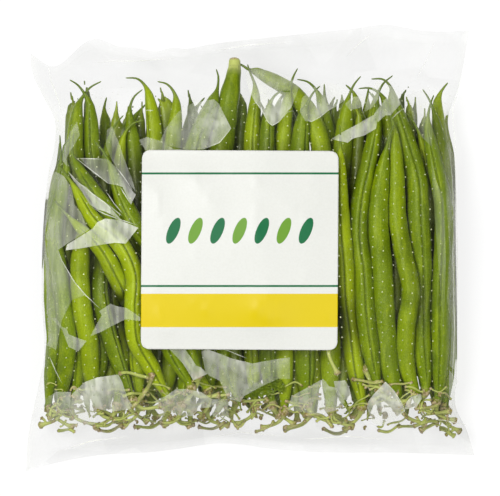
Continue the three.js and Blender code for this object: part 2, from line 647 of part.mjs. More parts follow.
const heap = makeHeap();
settle(heap);
const singles = heap.filter((bean) => bean.name);
singles.forEach((bean, i) => addPiece(bean.name, beanSolid(bean), greens[i % greens.length]));
for (let bunch = 0; bunch < INNER_COLUMNS / BUNCH_COLUMNS; bunch++) {
  const members = heap.filter((bean) => bean.bunch === bunch).map(beanSolid);
  const joined = members.reduce((all, one) => all.add(one));
  addPiece("inner_beans_" + (bunch + 1), joined, greens[bunch % greens.length]);
}
const bag = makeBag();
addPiece("film_bag", bag, clearFilm);
addPiece("label", makeLabel(), paper);

// The bag's middle stands over the origin, and its flat back lies on the floor
const { min, max } = bag.boundingBox();
part.position.set(-(min[0] + max[0]) / 2, -(min[1] + max[1]) / 2, -min[2]);

export default part;
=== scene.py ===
# Clear film bag of fine green beans, lying on its back.
# Metres. The camera looks straight down on it, as the photograph looks straight at
# its front, so a pixel of the photograph is a place in plan.
import math
import random

import bmesh
import bpy
import numpy as np
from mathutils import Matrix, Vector, noise
from mathutils.bvhtree import BVHTree


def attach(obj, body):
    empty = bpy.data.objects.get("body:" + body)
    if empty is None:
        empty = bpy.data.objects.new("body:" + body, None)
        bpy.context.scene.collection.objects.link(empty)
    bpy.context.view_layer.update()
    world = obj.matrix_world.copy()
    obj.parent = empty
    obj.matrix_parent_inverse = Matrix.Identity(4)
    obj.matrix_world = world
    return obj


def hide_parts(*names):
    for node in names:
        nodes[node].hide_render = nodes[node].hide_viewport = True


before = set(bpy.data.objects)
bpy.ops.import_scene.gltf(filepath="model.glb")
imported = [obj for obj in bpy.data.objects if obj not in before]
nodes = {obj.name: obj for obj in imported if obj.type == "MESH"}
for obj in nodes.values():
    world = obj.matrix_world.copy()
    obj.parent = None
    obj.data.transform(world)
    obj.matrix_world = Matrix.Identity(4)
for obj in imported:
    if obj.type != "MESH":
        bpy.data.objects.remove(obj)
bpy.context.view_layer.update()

MM = 0.001
PIXEL = 0.39 * MM  # size of a pixel of the photograph, on the bag
PHOTO_WIDTH = 500
MIDDLE = 250  # pixels from the photograph's corner to the middle of the bag's plan
SHIFT_Y = -0.70 * MM  # from the photograph's middle to the frame's origin


def from_photo(x, y):
    """The place in plan of a pixel of the photograph."""
    return ((x - MIDDLE) * PIXEL, (MIDDLE - y) * PIXEL + SHIFT_Y)


def curve_through(points, t):
    """Values at t of the smooth curve through (t, value) points."""
    knots = np.array([p[0] for p in points], float)
    values = np.array([p[1] for p in points], float)
    t = np.clip(np.asarray(t, float), knots[0], knots[-1])
    before = np.clip(np.arange(len(knots)) - 1, 0, None)
    after = np.clip(np.arange(len(knots)) + 1, None, len(knots) - 1)
    slope = ((values[after].T - values[before].T) / (knots[after] - knots[before])).T
    i = np.clip(np.searchsorted(knots, t, side="right") - 1, 0, len(knots) - 2)
    span = knots[i + 1] - knots[i]
    s = (t - knots[i]) / span
    h = s * s * (3 - 2 * s)
    shape = (-1,) + (1,) * (values.ndim - 1)
    s, h, span = s.reshape(shape), h.reshape(shape), span.reshape(shape)
    flat = values[i] * (1 - h) + values[i + 1] * h
    bend = span * (s * (1 - s) ** 2 * slope[i] - s * s * (1 - s) * slope[i + 1])
    return flat + bend


def smooth(x, low, high):
    t = np.clip((np.asarray(x, float) - low) / (high - low), 0, 1)
    return t * t * (3 - 2 * t)


# Node trees
class Nodes:
    """Short ways to build a material's node tree."""

    def __init__(self, name):
        self.material = bpy.data.materials.new(name)
        self.material.use_nodes = True
        self.tree = self.material.node_tree
        self.tree.nodes.clear()
        self.coords = self.add("TexCoord").outputs["Object"]

    def add(self, kind, inputs=(), **settings):
        """A shader node whose inputs are given as numbers, colours or other sockets."""
        node = self.tree.nodes.new("ShaderNode" + kind)
        for key, value in settings.items():
            setattr(node, key, value)
        for key, value in dict(inputs).items():
            if hasattr(value, "links"):
                self.tree.links.new(value, node.inputs[key])
            else:
                node.inputs[key].default_value = value
        return node

    def math(self, operation, a, b=0.0, clamp=False):
        return self.add("Math", {0: a, 1: b}, operation=operation, use_clamp=clamp).outputs[0]

    def plus(self, a, b, clamp=False):
        return self.math("ADD", a, b, clamp)

    def minus(self, a, b):
        return self.math("SUBTRACT", a, b)

    def times(self, a, b, clamp=False):
        return self.math("MULTIPLY", a, b, clamp)

    def mix(self, factor, a, b):
        return self.add("Mix", {0: factor, 6: a, 7: b}, data_type="RGBA").outputs[2]

    def ramp(self, value, low, high, to_low=0.0, to_high=1.0):
        inputs = {0: value, 1: low, 2: high, 3: to_low, 4: to_high}
        return self.add("MapRange", inputs, interpolation_type="SMOOTHSTEP").outputs[0]

    def stretched(self, scale, turn=0.0):
        """The piece's coordinates, stretched and then turned in plan."""
        inputs = {"Vector": self.coords, "Rotation": (0, 0, turn), "Scale": scale}
        return self.add("Mapping", inputs).outputs[0]

    def noise(self, scale, detail=2.0, rough=0.5, coords=None):
        where = self.coords if coords is None else coords
        inputs = {"Vector": where, "Scale": scale, "Detail": detail, "Roughness": rough}
        return self.add("TexNoise", inputs).outputs["Fac"]

    def attribute(self, name):
        return self.add("Attribute", attribute_name=name).outputs["Fac"]

    def bump(self, height, strength, distance):
        inputs = {"Height": height, "Strength": strength, "Distance": distance}
        return self.add("Bump", inputs).outputs[0]

    def finish(self, shader):
        out = self.add("OutputMaterial")
        self.tree.links.new(shader, out.inputs[0])
        return self.material


def color(red, green, blue):
    """A colour given as on the screen, from 0 to 255."""
    def linear(c):
        c /= 255
        return c / 12.92 if c <= 0.04045 else ((c + 0.055) / 1.055) ** 2.4
    return (linear(red), linear(green), linear(blue), 1.0)


# Materials
POD_LIGHT = color(163, 183, 12)
POD_PALE = color(180, 196, 34)
POD_MIDDLE = color(109, 132, 3)
POD_DEEP = color(78, 99, 0)
# the colour of the painted shade on deep and inner beans
POD_SHADED = color(34, 42, 0)
SUTURE = color(38, 58, 2)
STALK_GREEN = color(186, 194, 108)
CALYX = color(116, 76, 32)
DRY = color(190, 172, 134)
TAIL = color(98, 118, 46)
FILM_WHITE = color(250, 252, 242)
HOLE_LIGHT = color(236, 242, 178)
DOUBLED_WHITE = color(250, 252, 238)
PAPER = color(225, 226, 220)
PAPER_SHADE = color(219, 220, 213)
BAND_YELLOW = color(220, 196, 0)
PRINT_GREEN = color(2, 106, 60)
PRINT_LEAF = color(104, 152, 40)


def pod_color(n, tone):
    """The greens of a pod, over its own tone and in soft streaks and patches."""
    streaks = n.noise(420, 3, coords=n.stretched((1, 0.16, 1)))
    patches = n.noise(55, 2)
    green = n.mix(n.ramp(tone, 0.1, 0.9), POD_MIDDLE, POD_LIGHT)
    green = n.mix(n.ramp(patches, 0.42, 0.72, 0, 0.6), green, POD_DEEP)
    return n.mix(n.ramp(streaks, 0.45, 0.7, 0, 0.35), green, POD_LIGHT)


def make_bean_material():
    n = Nodes("bean_skin")
    green = pod_color(n, n.attribute("tone"))
    green = n.mix(n.times(n.attribute("suture"), 0.85), green, SUTURE)
    speckle = n.noise(1500, 3, 0.7)
    green = n.mix(n.ramp(speckle, 0.52, 0.75, 0, 0.4), green, POD_PALE)
    green = n.mix(n.ramp(speckle, 0.48, 0.3, 0, 0.35), green, POD_DEEP)
    skin = n.mix(n.attribute("stalk"), green, STALK_GREEN)
    ragged = n.noise(900, 3)
    knob = n.plus(n.attribute("knob"), n.ramp(ragged, 0.35, 0.65, -0.35, 0.3))
    knob = n.times(knob, n.ramp(n.attribute("knob"), 0.05, 0.4), True)
    skin = n.mix(knob, skin, n.mix(n.ramp(ragged, 0.4, 0.6), CALYX, DRY))
    skin = n.mix(n.times(n.attribute("tail"), 0.8), skin, TAIL)
    # Painted shade: beans that lie deep under the film are darkened towards POD_SHADED.
    skin = n.mix(n.times(n.attribute("painted_shade"), 0.86), skin, POD_SHADED)
    grain = n.plus(n.noise(1500, 3), n.times(n.noise(300, 2), 0.6))
    shader = n.add("BsdfPrincipled", {
        "Base Color": skin,
        "Roughness": n.ramp(n.noise(700, 2), 0.3, 0.7, 0.3, 0.44),
        "Normal": n.bump(grain, 0.45, 0.00022),
        "Specular IOR Level": 0.25,
        "Specular Tint": (0.95, 1, 0.55, 1),
    })
    return n.finish(shader.outputs[0])


def make_inner_material():
    n = Nodes("inner_bean_skin")
    place = n.add("SeparateXYZ", {0: n.coords}).outputs
    tone = n.noise(160, 1, coords=n.stretched((1, 0.05, 1)))
    # Painted shade: the inner beans are darkened towards POD_SHADED, most in the middle and less
    # towards their ends.
    inner_painted_shade = n.ramp(n.math("ABSOLUTE", place[1]), 0.03, 0.056, 0.68, 0.3)
    green = n.mix(inner_painted_shade, pod_color(n, n.ramp(tone, 0.3, 0.7)), POD_SHADED)
    ragged = n.noise(500, 3)
    low = n.ramp(place[1], -0.060, -0.068)
    knob = n.times(low, n.ramp(ragged, 0.45, 0.65))
    skin = n.mix(n.times(low, 0.6), green, STALK_GREEN)
    skin = n.mix(knob, skin, CALYX)
    skin = n.mix(n.ramp(place[1], 0.056, 0.066, 0, 0.7), skin, TAIL)
    shader = n.add("BsdfPrincipled", {
        "Base Color": skin,
        "Roughness": n.ramp(n.noise(700, 2), 0.3, 0.7, 0.38, 0.52),
        "Normal": n.bump(n.noise(1200, 3), 0.25, 0.0002),
    })
    return n.finish(shader.outputs[0])


NEEDLE_PITCH = (4.2 * MM, 4.0 * MM)  # between the needle holes, across and along
NEEDLE_RADIUS = 0.28 * MM
ROW_SHIFT = 0.381966  # share of the pitch from one column's holes to the next
FILM_CLEAR = 0.986  # share of the light that one sheet lets through
FILM_GLOSS_IOR = 1.07  # low, so that the film shines mostly where it is seen at a slant


def needle_holes(n):
    """1 in the film's needle holes, which run in columns over its length, 0 between."""
    warp = n.minus(n.noise(28, 1), 0.5)
    across = n.plus(n.attribute("film_across"), n.times(warp, 5 * MM))
    column = n.math("DIVIDE", across, NEEDLE_PITCH[0])
    offset = n.math("FRACT", n.times(n.math("FLOOR", column), ROW_SHIFT))
    row = n.plus(n.math("DIVIDE", n.attribute("film_along"), NEEDLE_PITCH[1]), offset)
    dx = n.times(n.minus(n.math("FRACT", column), 0.5), NEEDLE_PITCH[0])
    dy = n.times(n.minus(n.math("FRACT", row), 0.5), NEEDLE_PITCH[1])
    away = n.math("SQRT", n.plus(n.times(dx, dx), n.times(dy, dy)))
    spot = n.ramp(away, NEEDLE_RADIUS * 1.2, NEEDLE_RADIUS * 0.7)
    spot = n.times(spot, n.ramp(n.noise(330, 1), 0.34, 0.62, 0.12, 1))
    return n.times(spot, n.minus(1.0, n.attribute("slack")))


def film_tint(n):
    """How much light the film lets through: less in the flat faces of its slack ends."""
    facets = n.stretched((42, 62, 0), 0.5)
    cells = n.add("TexVoronoi", {"Vector": facets, "Scale": 1.0})
    face = n.add("SeparateColor", {0: cells.outputs["Color"]}).outputs[0]
    face = n.plus(n.times(face, 0.45), n.times(n.noise(55, 2), 0.9))
    dim = n.ramp(face, 0.3, 0.95, 0.052, 0.024)
    return n.minus(FILM_CLEAR, n.times(n.attribute("slack"), dim))


def make_film_material(name, holes_show):
    """Clear film: it dims what lies under it a little, and is dotted by its holes."""
    n = Nodes(name)
    cloud = n.ramp(n.noise(30, 3), 0.45, 0.75, 0, 0.006)
    tilt = n.add("LayerWeight", {"Blend": 0.25}).outputs["Facing"]
    # Painted sheen: the film is made whiter by the value laid where it bends sharply and along its
    # sides
    haze_and_sheen = n.plus(n.attribute("haze_and_sheen"), cloud, True)
    haze_and_sheen = n.plus(haze_and_sheen, n.times(tilt, 0.06), True)
    holes = needle_holes(n)
    haze_and_sheen = n.plus(haze_and_sheen, n.times(holes, holes_show), True)
    body = n.add("BsdfPrincipled", {
        "Base Color": n.mix(holes, FILM_WHITE, HOLE_LIGHT),
        "Roughness": 0.25,
        "Normal": n.bump(n.noise(180, 3), 0.3, 0.0006),
    })
    clear = n.add("BsdfTransparent", {0: film_tint(n)})
    mixed = n.add("MixShader", {0: haze_and_sheen, 1: clear.outputs[0], 2: body.outputs[0]})
    gloss = n.add("BsdfAnisotropic", {
        "Roughness": 0.12,
        "Normal": n.bump(n.noise(240, 2), 0.2, 0.0005),
    })
    edge = n.add("Fresnel", {"IOR": FILM_GLOSS_IOR}).outputs[0]
    shine = n.add("MixShader", {0: edge, 1: mixed.outputs[0], 2: gloss.outputs[0]})
    return n.finish(shine.outputs[0])


def make_pleat_material():
    """Film that lies doubled on itself: milky, with the needle holes as dark dots."""
    n = Nodes("film_doubled")
    cloud = n.ramp(n.noise(75, 3), 0.3, 0.7, 0.68, 1.2)
    streaks = n.noise(420, 3, coords=n.stretched((1, 0.12, 1), 0.7))
    streaks = n.ramp(streaks, 0.32, 0.68, 0.72, 1.25)
    veil = n.times(n.attribute("haze_and_sheen"), n.times(cloud, streaks), True)
    open_holes = n.minus(1.0, n.times(needle_holes(n), 0.75))
    veil = n.times(veil, open_holes)
    shader = n.add("BsdfPrincipled", {
        "Base Color": DOUBLED_WHITE,
        "Roughness": 0.3,
        "Normal": n.bump(n.noise(240, 3), 0.3, 0.0005),
    })
    clear = n.add("BsdfTransparent")
    mixed = n.add("MixShader", {0: veil, 1: clear.outputs[0], 2: shader.outputs[0]})
    return n.finish(mixed.outputs[0])


bean_skin = make_bean_material()
inner_skin = make_inner_material()
front_film_look = make_film_material("film_front", 0.62)
back_film_look = make_film_material("film_back", 0.2)
pleat_look = make_pleat_material()


def add_object(name, data):
    obj = bpy.data.objects.new(name, data)
    bpy.context.scene.collection.objects.link(obj)
    return obj


def finished_mesh(name, bm, material):
    mesh = bpy.data.meshes.new(name)
    bm.to_mesh(mesh)
    bm.free()
    mesh.materials.append(material)
    return mesh


def new_object(name, bm, material, slot, *replaced):
    """An object of a finished bmesh, in the scene, riding on the part's one body."""
    obj = add_object(name, finished_mesh(name, bm, material))
    for face in obj.data.polygons:
        face.use_smooth = True
    if replaced:
        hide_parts(*replaced)
    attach(obj, "root")
    return obj


def value_layers(bm, names):
    """A mesh's layers of one float for each vertex, made where they are missing."""
    floats = bm.verts.layers.float
    for name in names:
        if floats.get(name) is None:
            floats.new(name)
    return {name: floats[name] for name in names}


def grid_mesh(bm, points, values=None, wrap=False):
    """Adds a grid of faces through points[row][column]; values are floats on its vertices."""
    rows, columns = points.shape[:2]
    across = columns if wrap else columns - 1
    values = values or {}
    layers = value_layers(bm, values)
    made = bmesh.ops.create_grid(bm, x_segments=across, y_segments=rows - 1, size=1.0)["verts"]
    for vert in made:
        i = round((vert.co.y + 1) / 2 * (rows - 1))
        j = round((vert.co.x + 1) / 2 * across) % columns
        vert.co = points[i, j]
        for key, layer in layers.items():
            vert[layer] = values[key][i, j]
    if wrap:
        bmesh.ops.remove_doubles(bm, verts=made, dist=1e-7)
        bmesh.ops.recalc_face_normals(bm, faces=bm.faces)


def skin_values(like, tone, suture=0, stalk=0, knob=0, tail=0):
    """What the bean skin reads at each vertex of a grid: its tone, and what part it is."""
    parts = {"tone": tone, "suture": suture, "stalk": stalk, "knob": knob, "tail": tail}
    return {key: np.zeros_like(like) + value for key, value in parts.items()}


# Beans
def rings_of(node):
    """Centres and radii of the rings of a bean's CAD tube, from its stalk to its beak."""
    bm = bmesh.new()
    bm.from_mesh(node.data)
    bmesh.ops.remove_doubles(bm, verts=bm.verts, dist=1e-5)

    def levels(start):
        found, seen = [[start]], {start}
        while True:
            ring = {e.other_vert(v) for v in found[-1] for e in v.link_edges} - seen
            if not ring:
                return found
            seen |= ring
            found.append(sorted(ring, key=lambda v: v.index))

    bm.verts.index_update()
    bm.verts.ensure_lookup_table()
    pole = levels(bm.verts[0])[-1][0]
    rings = levels(pole)[1:-1]
    centres = np.array([np.mean([v.co[:] for v in ring], axis=0) for ring in rings])
    radii = np.array([
        np.mean([(v.co - Vector(centre)).length for v in ring])
        for ring, centre in zip(rings, centres)
    ])
    bm.free()
    if radii[0] < radii[-1]:
        return centres[::-1], radii[::-1]
    return centres, radii


# Angles of a pod's section, close together at the suture, which is at 0
HALF_SECTION = [4.5, 9, 15, 25, 42, 66, 92, 120, 150]
SECTION = np.radians([0] + HALF_SECTION + [180] + [360 - turn for turn in reversed(HALF_SECTION)])
STALK_SECTION = np.linspace(0, 2 * math.pi, 9)[:-1]
RING_STEP = 1.3 * MM
CUT_BEAN = "front_bean_24"  # its stalk end points up and was cut off bluntly
SPREAD = 2.8 * MM  # how far the outermost beans press out into the sides
OUTERMOST = (0.048, 0.072)  # distances from the middle over which that sets in
PRESSED = 0.1  # share by which the packing presses the front pods wider
THICKER = 0.12  # share by which a pod is thicker than its solid
SEED_SWELL = 0.022  # and by which it swells and narrows over its seeds
SEED_PITCH = (8.5, 11)  # mm between the seeds
NECK_THINNER = 0.22  # share by which a pod narrows at its stalk
BEAK_THINNER = 0.32  # and at its beak
CALYX_OUT, KNOB_OUT = 0.7, 1.0  # mm by which they stand out
GROOVE, RIDGE, FLAT_SIDES, TORN = 0.1, 0.045, 0.05, 0.45  # relief, in shares of the radius
ABOVE_ALL, BELOW_ALL = 0.1, -0.05  # heights from which rays are cast on the beans
CUT_END_RADII = np.array([2.1, 2.5, 2.8, 2.9]) * MM


def path_frames(points, roll):
    """A direction to the side and one upwards at each point of a path, turned by roll."""
    ahead = np.gradient(points, axis=0)
    ahead /= np.linalg.norm(ahead, axis=1)[:, None]
    up = np.array([0.0, 0.0, 1.0])
    ups = []
    for direction in ahead:
        up = up - direction * np.dot(up, direction)
        up /= np.linalg.norm(up)
        ups.append(up)
    ups = np.array(ups)
    sides = np.cross(ahead, ups)
    cos, sin = np.cos(roll)[:, None], np.sin(roll)[:, None]
    return sides * cos - ups * sin, ups * cos + sides * sin


def add_tube(bm, points, radii, roll, angles, relief, values, flattened=0.0):
    """Adds a closed tube along points, with its relief as shares of the radius."""
    side, up = path_frames(points, roll)
    reach = radii[:, None] * (1 + relief)
    cos, sin = np.cos(angles)[None, :, None], np.sin(angles)[None, :, None]
    offsets = (cos * up[:, None, :] + sin * side[:, None, :]) * reach[:, :, None]
    level = path_frames(points, roll * 0)[0]
    sideways = np.einsum("ijk,ik->ij", offsets, level) * np.reshape(flattened, (-1, 1))
    offsets += sideways[:, :, None] * level[:, None, :]
    grid_mesh(bm, points[:, None, :] + offsets, values, wrap=True)


def tear(angles, along, phase):
    """Uneven heights round a tube, as where it tore."""
    return np.array([[noise.noise(Vector((a * 1.7, p, phase))) for a in angles] for p in along])


def rounded_ends(s, length, radius):
    """Shares of the radius that close a tube's ends in a dome."""
    share = np.minimum(np.minimum(s, length - s) / radius, 1)
    return np.sqrt(np.clip(1 - (1 - share) ** 2, 0, 1))


def make_bean(name, rng, coarse=1.0):
    """A pod with its stalk, calyx, suture and beak, along the axis of its solid."""
    centres, radii = rings_of(nodes[name])
    count = len(radii)
    if name == CUT_BEAN:
        radii[:4] = np.maximum(radii[:4], CUT_END_RADII)
        centres[0] += (0, 3.2 * MM, 0.6 * MM)
    outermost = smooth(np.abs(centres[:, 0]), *OUTERMOST)
    centres[:, 0] += np.sign(centres[:, 0]) * SPREAD * outermost
    # The rings of the solid's tube between which its pod lies
    pod_first = 3 if count > 11 else 2
    pod_last = pod_first + (7 if count > 11 else 5)
    knots = np.concatenate([[0], np.cumsum(np.linalg.norm(np.diff(centres, axis=0), axis=1))])
    length = knots[-1]
    steps = np.linspace(0, length, int(length / (RING_STEP * coarse)))
    cap = 1.3 * MM if name == CUT_BEAN else 0.7 * MM
    on_cap = cap * np.array([0, 0.08, 0.3, 1])
    s = np.unique(np.concatenate([on_cap, steps[1:-1], length - on_cap[::-1]]))
    points = curve_through(list(zip(knots, centres)), s)
    radius = np.clip(curve_through(list(zip(knots, radii)), s), 0.32 * MM, None)
    start, end = knots[pod_first], knots[pod_last]
    on_pod = smooth(s, start - 2 * MM, start + 6 * MM) * (1 - smooth(s, end - 6 * MM, end + 2 * MM))
    # Seeds swell the pod a little, one every centimetre
    phase = rng.uniform(0, 6.28)
    seeds = np.sin(s / (rng.uniform(*SEED_PITCH) * MM) * 2 * math.pi + phase)
    radius *= 1 + on_pod * (THICKER + SEED_SWELL * seeds)
    # It narrows to a neck at the stalk and to a thin tail at the beak
    if name != CUT_BEAN:
        at_neck = smooth(s, start - 3 * MM, start) * (1 - smooth(s, start, start + 13 * MM))
        radius *= 1 - NECK_THINNER * at_neck
    radius *= 1 - BEAK_THINNER * smooth(s, end, end + 6 * MM)
    # The calyx at the neck and the knob at the stalk's end
    neck = start - 2.2 * MM
    calyx = np.exp(-(((s - neck) / (1.3 * MM)) ** 2))
    knob = np.exp(-((s / (1.5 * MM)) ** 2))
    if name == CUT_BEAN:
        calyx, knob = calyx * 0, np.exp(-((s / (0.9 * MM)) ** 2))
    else:
        radius += calyx * CALYX_OUT * MM + knob * KNOB_OUT * MM
    radius *= rounded_ends(s, length, cap)
    turned = rng.uniform(-0.6, 0.6) if rng.random() < 0.5 else rng.uniform(1.4, 3.1)
    roll = turned + np.linspace(0, rng.uniform(-0.35, 0.35), len(s))
    # The suture is a groove between two low ridges, and the pod's sides are a little flat
    turn = np.degrees(np.minimum(SECTION, 2 * math.pi - SECTION))
    groove = np.exp(-((turn / 5) ** 2))
    ridges = np.exp(-(((turn - 16) / 9) ** 2))
    section = -GROOVE * groove + RIDGE * ridges - FLAT_SIDES * np.sin(SECTION) ** 2
    relief = on_pod[:, None] * section[None, :]
    relief += tear(SECTION, s * 2600, phase) * (TORN * (calyx + knob))[:, None]
    values = skin_values(
        relief,
        tone=0.1 if name == CUT_BEAN else 0.8 * rng.random(),
        suture=on_pod[:, None] * np.exp(-((turn / 6) ** 2))[None, :] * rng.uniform(0.55, 1),
        stalk=1 - smooth(s, start - 4 * MM, start - 1 * MM)[:, None],
        knob=np.clip(calyx + knob, 0, 1)[:, None],
        tail=smooth(s, end + 2 * MM, end + 8 * MM)[:, None],
    )
    bm = bmesh.new()
    flattened = PRESSED * on_pod if coarse == 1 else 0.0
    add_tube(bm, points, radius, roll, SECTION, relief, values, flattened)
    if rng.random() < 0.5:
        add_twig(bm, rng, points[len(points) // 40 + 3], phase)
    return new_object(name + "_skin", bm, bean_skin, "pods", name)


def add_twig(bm, rng, root, phase):
    """A short side stalk that was torn off, with a knob at its end."""
    way = rng.uniform(0, 2 * math.pi)
    length = rng.uniform(3, 7) * MM
    t = np.linspace(0, 1, 12)
    bend = rng.uniform(-0.8, 0.8)
    x = root[0] + length * t * np.cos(way + bend * t)
    y = root[1] + length * t * np.sin(way + bend * t) * 0.5
    z = root[2] + np.sin(t * 2) * 0.3 * MM
    points = np.stack([x, y, z], axis=1)
    radius = (0.55 + 0.35 * smooth(t, 0.75, 0.95)) * MM * rounded_ends(t, 1, 0.1)
    relief = np.array([
        [0.5 * noise.noise(Vector((a, p * 9, phase + 3))) * p for a in STALK_SECTION] for p in t
    ])
    values = skin_values(relief, tone=0.5, stalk=1, knob=smooth(t, 0.6, 0.9)[:, None])
    add_tube(bm, points, radius, np.zeros(12), STALK_SECTION, relief, values)


def make_inner_beans(name):
    """The beans between, from their CAD solid: rounded and with their joints softened."""
    bm = bmesh.new()
    bm.from_mesh(nodes[name].data)
    bmesh.ops.remove_doubles(bm, verts=bm.verts, dist=1e-5)
    obj = new_object(name + "_skin", bm, inner_skin, "pods", name)
    remesh = obj.modifiers.new("even", "REMESH")
    remesh.mode = "VOXEL"
    remesh.voxel_size = 0.9 * MM
    remesh.use_smooth_shade = True
    rounding = obj.modifiers.new("rounding", "SMOOTH")
    rounding.factor = 0.5
    rounding.iterations = 12
    swell = obj.modifiers.new("swell", "DISPLACE")
    swell.mid_level = 0
    swell.strength = 0.35 * MM
    return obj


def settle_on(tree, x, y, radius, floor):
    """Heights at which a thin stalk lies on the beans below it, without sharp bends."""
    z = np.full(len(x), floor)
    for i in range(len(x)):
        hit = tree.ray_cast(Vector((x[i], y[i], ABOVE_ALL)), Vector((0, 0, -1)))[0]
        if hit is not None:
            z[i] = max(z[i], hit.z + radius)
    bridged = z.copy()
    for _ in range(60):
        padded = np.pad(bridged, 1, mode="edge")
        bridged = np.maximum(z, (padded[:-2] + padded[2:]) / 2)
    return bridged


# Broken stalks that lie loose at the bottom: from and to in the photograph's pixels,
# how far they bow sideways, and their radius in mm
LOOSE_STALKS = [
    (56, 432, 75, 433, -2, 0.6), (93, 427, 115, 421, 2, 0.6), (97, 431, 123, 425, 3, 0.65),
    (132, 428, 161, 423, 3, 0.65), (160, 423, 186, 414, 3, 0.6), (197, 429, 226, 423, 3, 0.6),
    (235, 427, 246, 421, 2, 0.55), (118, 374, 150, 379, -3, 0.7), (152, 372, 130, 408, -5, 0.9),
    (150, 396, 122, 398, 4, 0.6), (60, 396, 84, 410, 5, 0.55), (48, 418, 60, 404, -3, 0.6),
    (254, 432, 274, 420, 4, 0.5), (284, 426, 306, 420, 4, 0.55), (304, 414, 334, 428, -5, 0.65),
    (322, 430, 352, 428, 5, 0.7), (351, 379, 384, 381, 2, 0.6), (398, 428, 428, 418, 4, 0.6),
    (414, 408, 440, 403, 3, 0.6), (440, 430, 456, 438, -2, 0.9), (378, 432, 402, 426, 3, 0.55),
    (414, 428, 440, 424, -4, 0.6), (240, 400, 268, 397, 3, 0.6), (284, 402, 306, 418, -6, 0.6),
]
SCATTERED_STALKS = 105
CRUMBS = 80  # torn brown bits of calyx among them
STALKS_LEFT, STALKS_RIGHT, STALKS_LOW = 46, 452, 433  # how far they reach, in pixels


def add_stalk(bm, rng, x, y, z, thick, brown):
    """A thin broken stalk along a path, lumpy at both ends where it tore."""
    t = np.linspace(0, 1, len(x))
    ends = np.exp(-((t / 0.1) ** 2)) + 0.6 * np.exp(-(((1 - t) / 0.09) ** 2))
    radius = thick * MM * (1 + 0.12 * np.sin(t * 9 + rng.uniform(0, 6))) + 0.42 * MM * ends
    radius = radius * rounded_ends(t, 1, 0.05)
    phase = rng.uniform(0, 99)
    relief = tear(STALK_SECTION, t * 26, phase) * (0.1 + 0.4 * ends)[:, None]
    values = skin_values(
        relief,
        tone=rng.random(),
        stalk=rng.uniform(0.75, 1),
        knob=np.clip(ends * rng.uniform(1, 1.6) + brown, 0, 1)[:, None],
    )
    points = np.stack([x, y, z], axis=1)
    add_tube(bm, points, radius, np.zeros(len(t)), STALK_SECTION, relief, values)


def add_loose_stalks():
    """The tangle of broken stalks and torn bits at the stalk end."""
    rng = random.Random(11)
    tree = bean_tree()
    bm = bmesh.new()
    stalks = list(LOOSE_STALKS)
    for _ in range(SCATTERED_STALKS):
        x, y = rng.uniform(STALKS_LEFT, STALKS_RIGHT - 2), rng.uniform(386, 421)
        turn, length = rng.uniform(-0.35, 0.8), rng.uniform(9, 27)
        way = rng.choice((-1, 1))
        end_x = min(max(x + way * length * math.cos(turn), STALKS_LEFT), STALKS_RIGHT)
        end_y = min(y + length * math.sin(turn), STALKS_LOW)
        stalks.append((x, y, end_x, end_y, rng.uniform(-5, 5), rng.uniform(0.22, 0.48)))
    whole = len(stalks)
    for _ in range(CRUMBS):
        x, y = rng.uniform(STALKS_LEFT, STALKS_RIGHT), 384 + 44 * rng.betavariate(2, 1.6)
        turn, length = rng.uniform(0, 6.28), rng.uniform(2.5, 6.5)
        end_x, end_y = x + length * math.cos(turn), y + length * math.sin(turn)
        stalks.append((x, y, end_x, end_y, rng.uniform(-1, 1), rng.uniform(0.35, 0.75)))
    for index, (x0, y0, x1, y1, bow, thick) in enumerate(stalks):
        length = math.hypot(x1 - x0, y1 - y0)
        t = np.linspace(0, 1, int(length / 1.6) + 6)
        arc = bow * np.sin(t * math.pi) + 0.8 * np.sin(t * 7 + rng.uniform(0, 6))
        px = x0 + (x1 - x0) * t - (y1 - y0) / length * arc
        py = y0 + (y1 - y0) * t + (x1 - x0) / length * arc
        x, y = from_photo(px, py)
        z = settle_on(tree, x, y, thick * MM, 1.6 * MM)
        brown = rng.choice((0, 0, 0.08, 0.35)) if index < whole else rng.uniform(0.6, 1)
        add_stalk(bm, rng, x, y, z, thick, brown)
    return new_object("loose_stalks", bm, bean_skin, "pods")


# Scraps of leaf among the stalks: middle in pixels, length and width in mm, turn
LEAF_SCRAPS = [
    (262, 390, 11, 5.5, 0.15), (275, 384, 8, 4.5, -0.5), (250, 393, 7, 4, 0.5),
    (66, 404, 6, 3.5, 0.8),
]


def add_leaf_scraps():
    """Torn bits of leaf, folded along their middle."""
    rng = random.Random(5)
    tree = bean_tree()
    bm = bmesh.new()
    for px, py, length, width, turn in LEAF_SCRAPS:
        u, v = np.meshgrid(np.linspace(-1, 1, 25), np.linspace(-1, 1, 13), indexing="ij")
        teeth = 1 + 0.16 * np.sign(np.sin(u * 14 + rng.uniform(0, 6)))
        outline = np.sqrt(np.clip(1 - u**2, 0, 1)) * teeth
        across = v * outline * width / 2 * MM
        along = u * length / 2 * MM + 0.4 * MM * np.abs(v)
        left, up = from_photo(px, py)
        x = left + along * math.cos(turn) - across * math.sin(turn)
        y = up + along * math.sin(turn) + across * math.cos(turn)
        base = settle_on(tree, x[:, 6], y[:, 6], 0.5 * MM, 2 * MM)
        fold = np.array([
            [noise.noise(Vector((a * 2.2, b * 1.8, px))) for b in v[0]] for a in u[:, 0]
        ])
        z = base[:, None] + 1.2 * MM * fold + 1.1 * MM * np.abs(v)
        values = skin_values(u, tone=0.1, suture=np.exp(-((v / 0.12) ** 2)) * 0.3 + 0.45)
        grid_mesh(bm, np.stack([x, y, z], axis=2), values)
    obj = new_object("leaf_scraps", bm, bean_skin, "pods")
    thick = obj.modifiers.new("thickness", "SOLIDIFY")
    thick.thickness = 0.2 * MM
    return obj


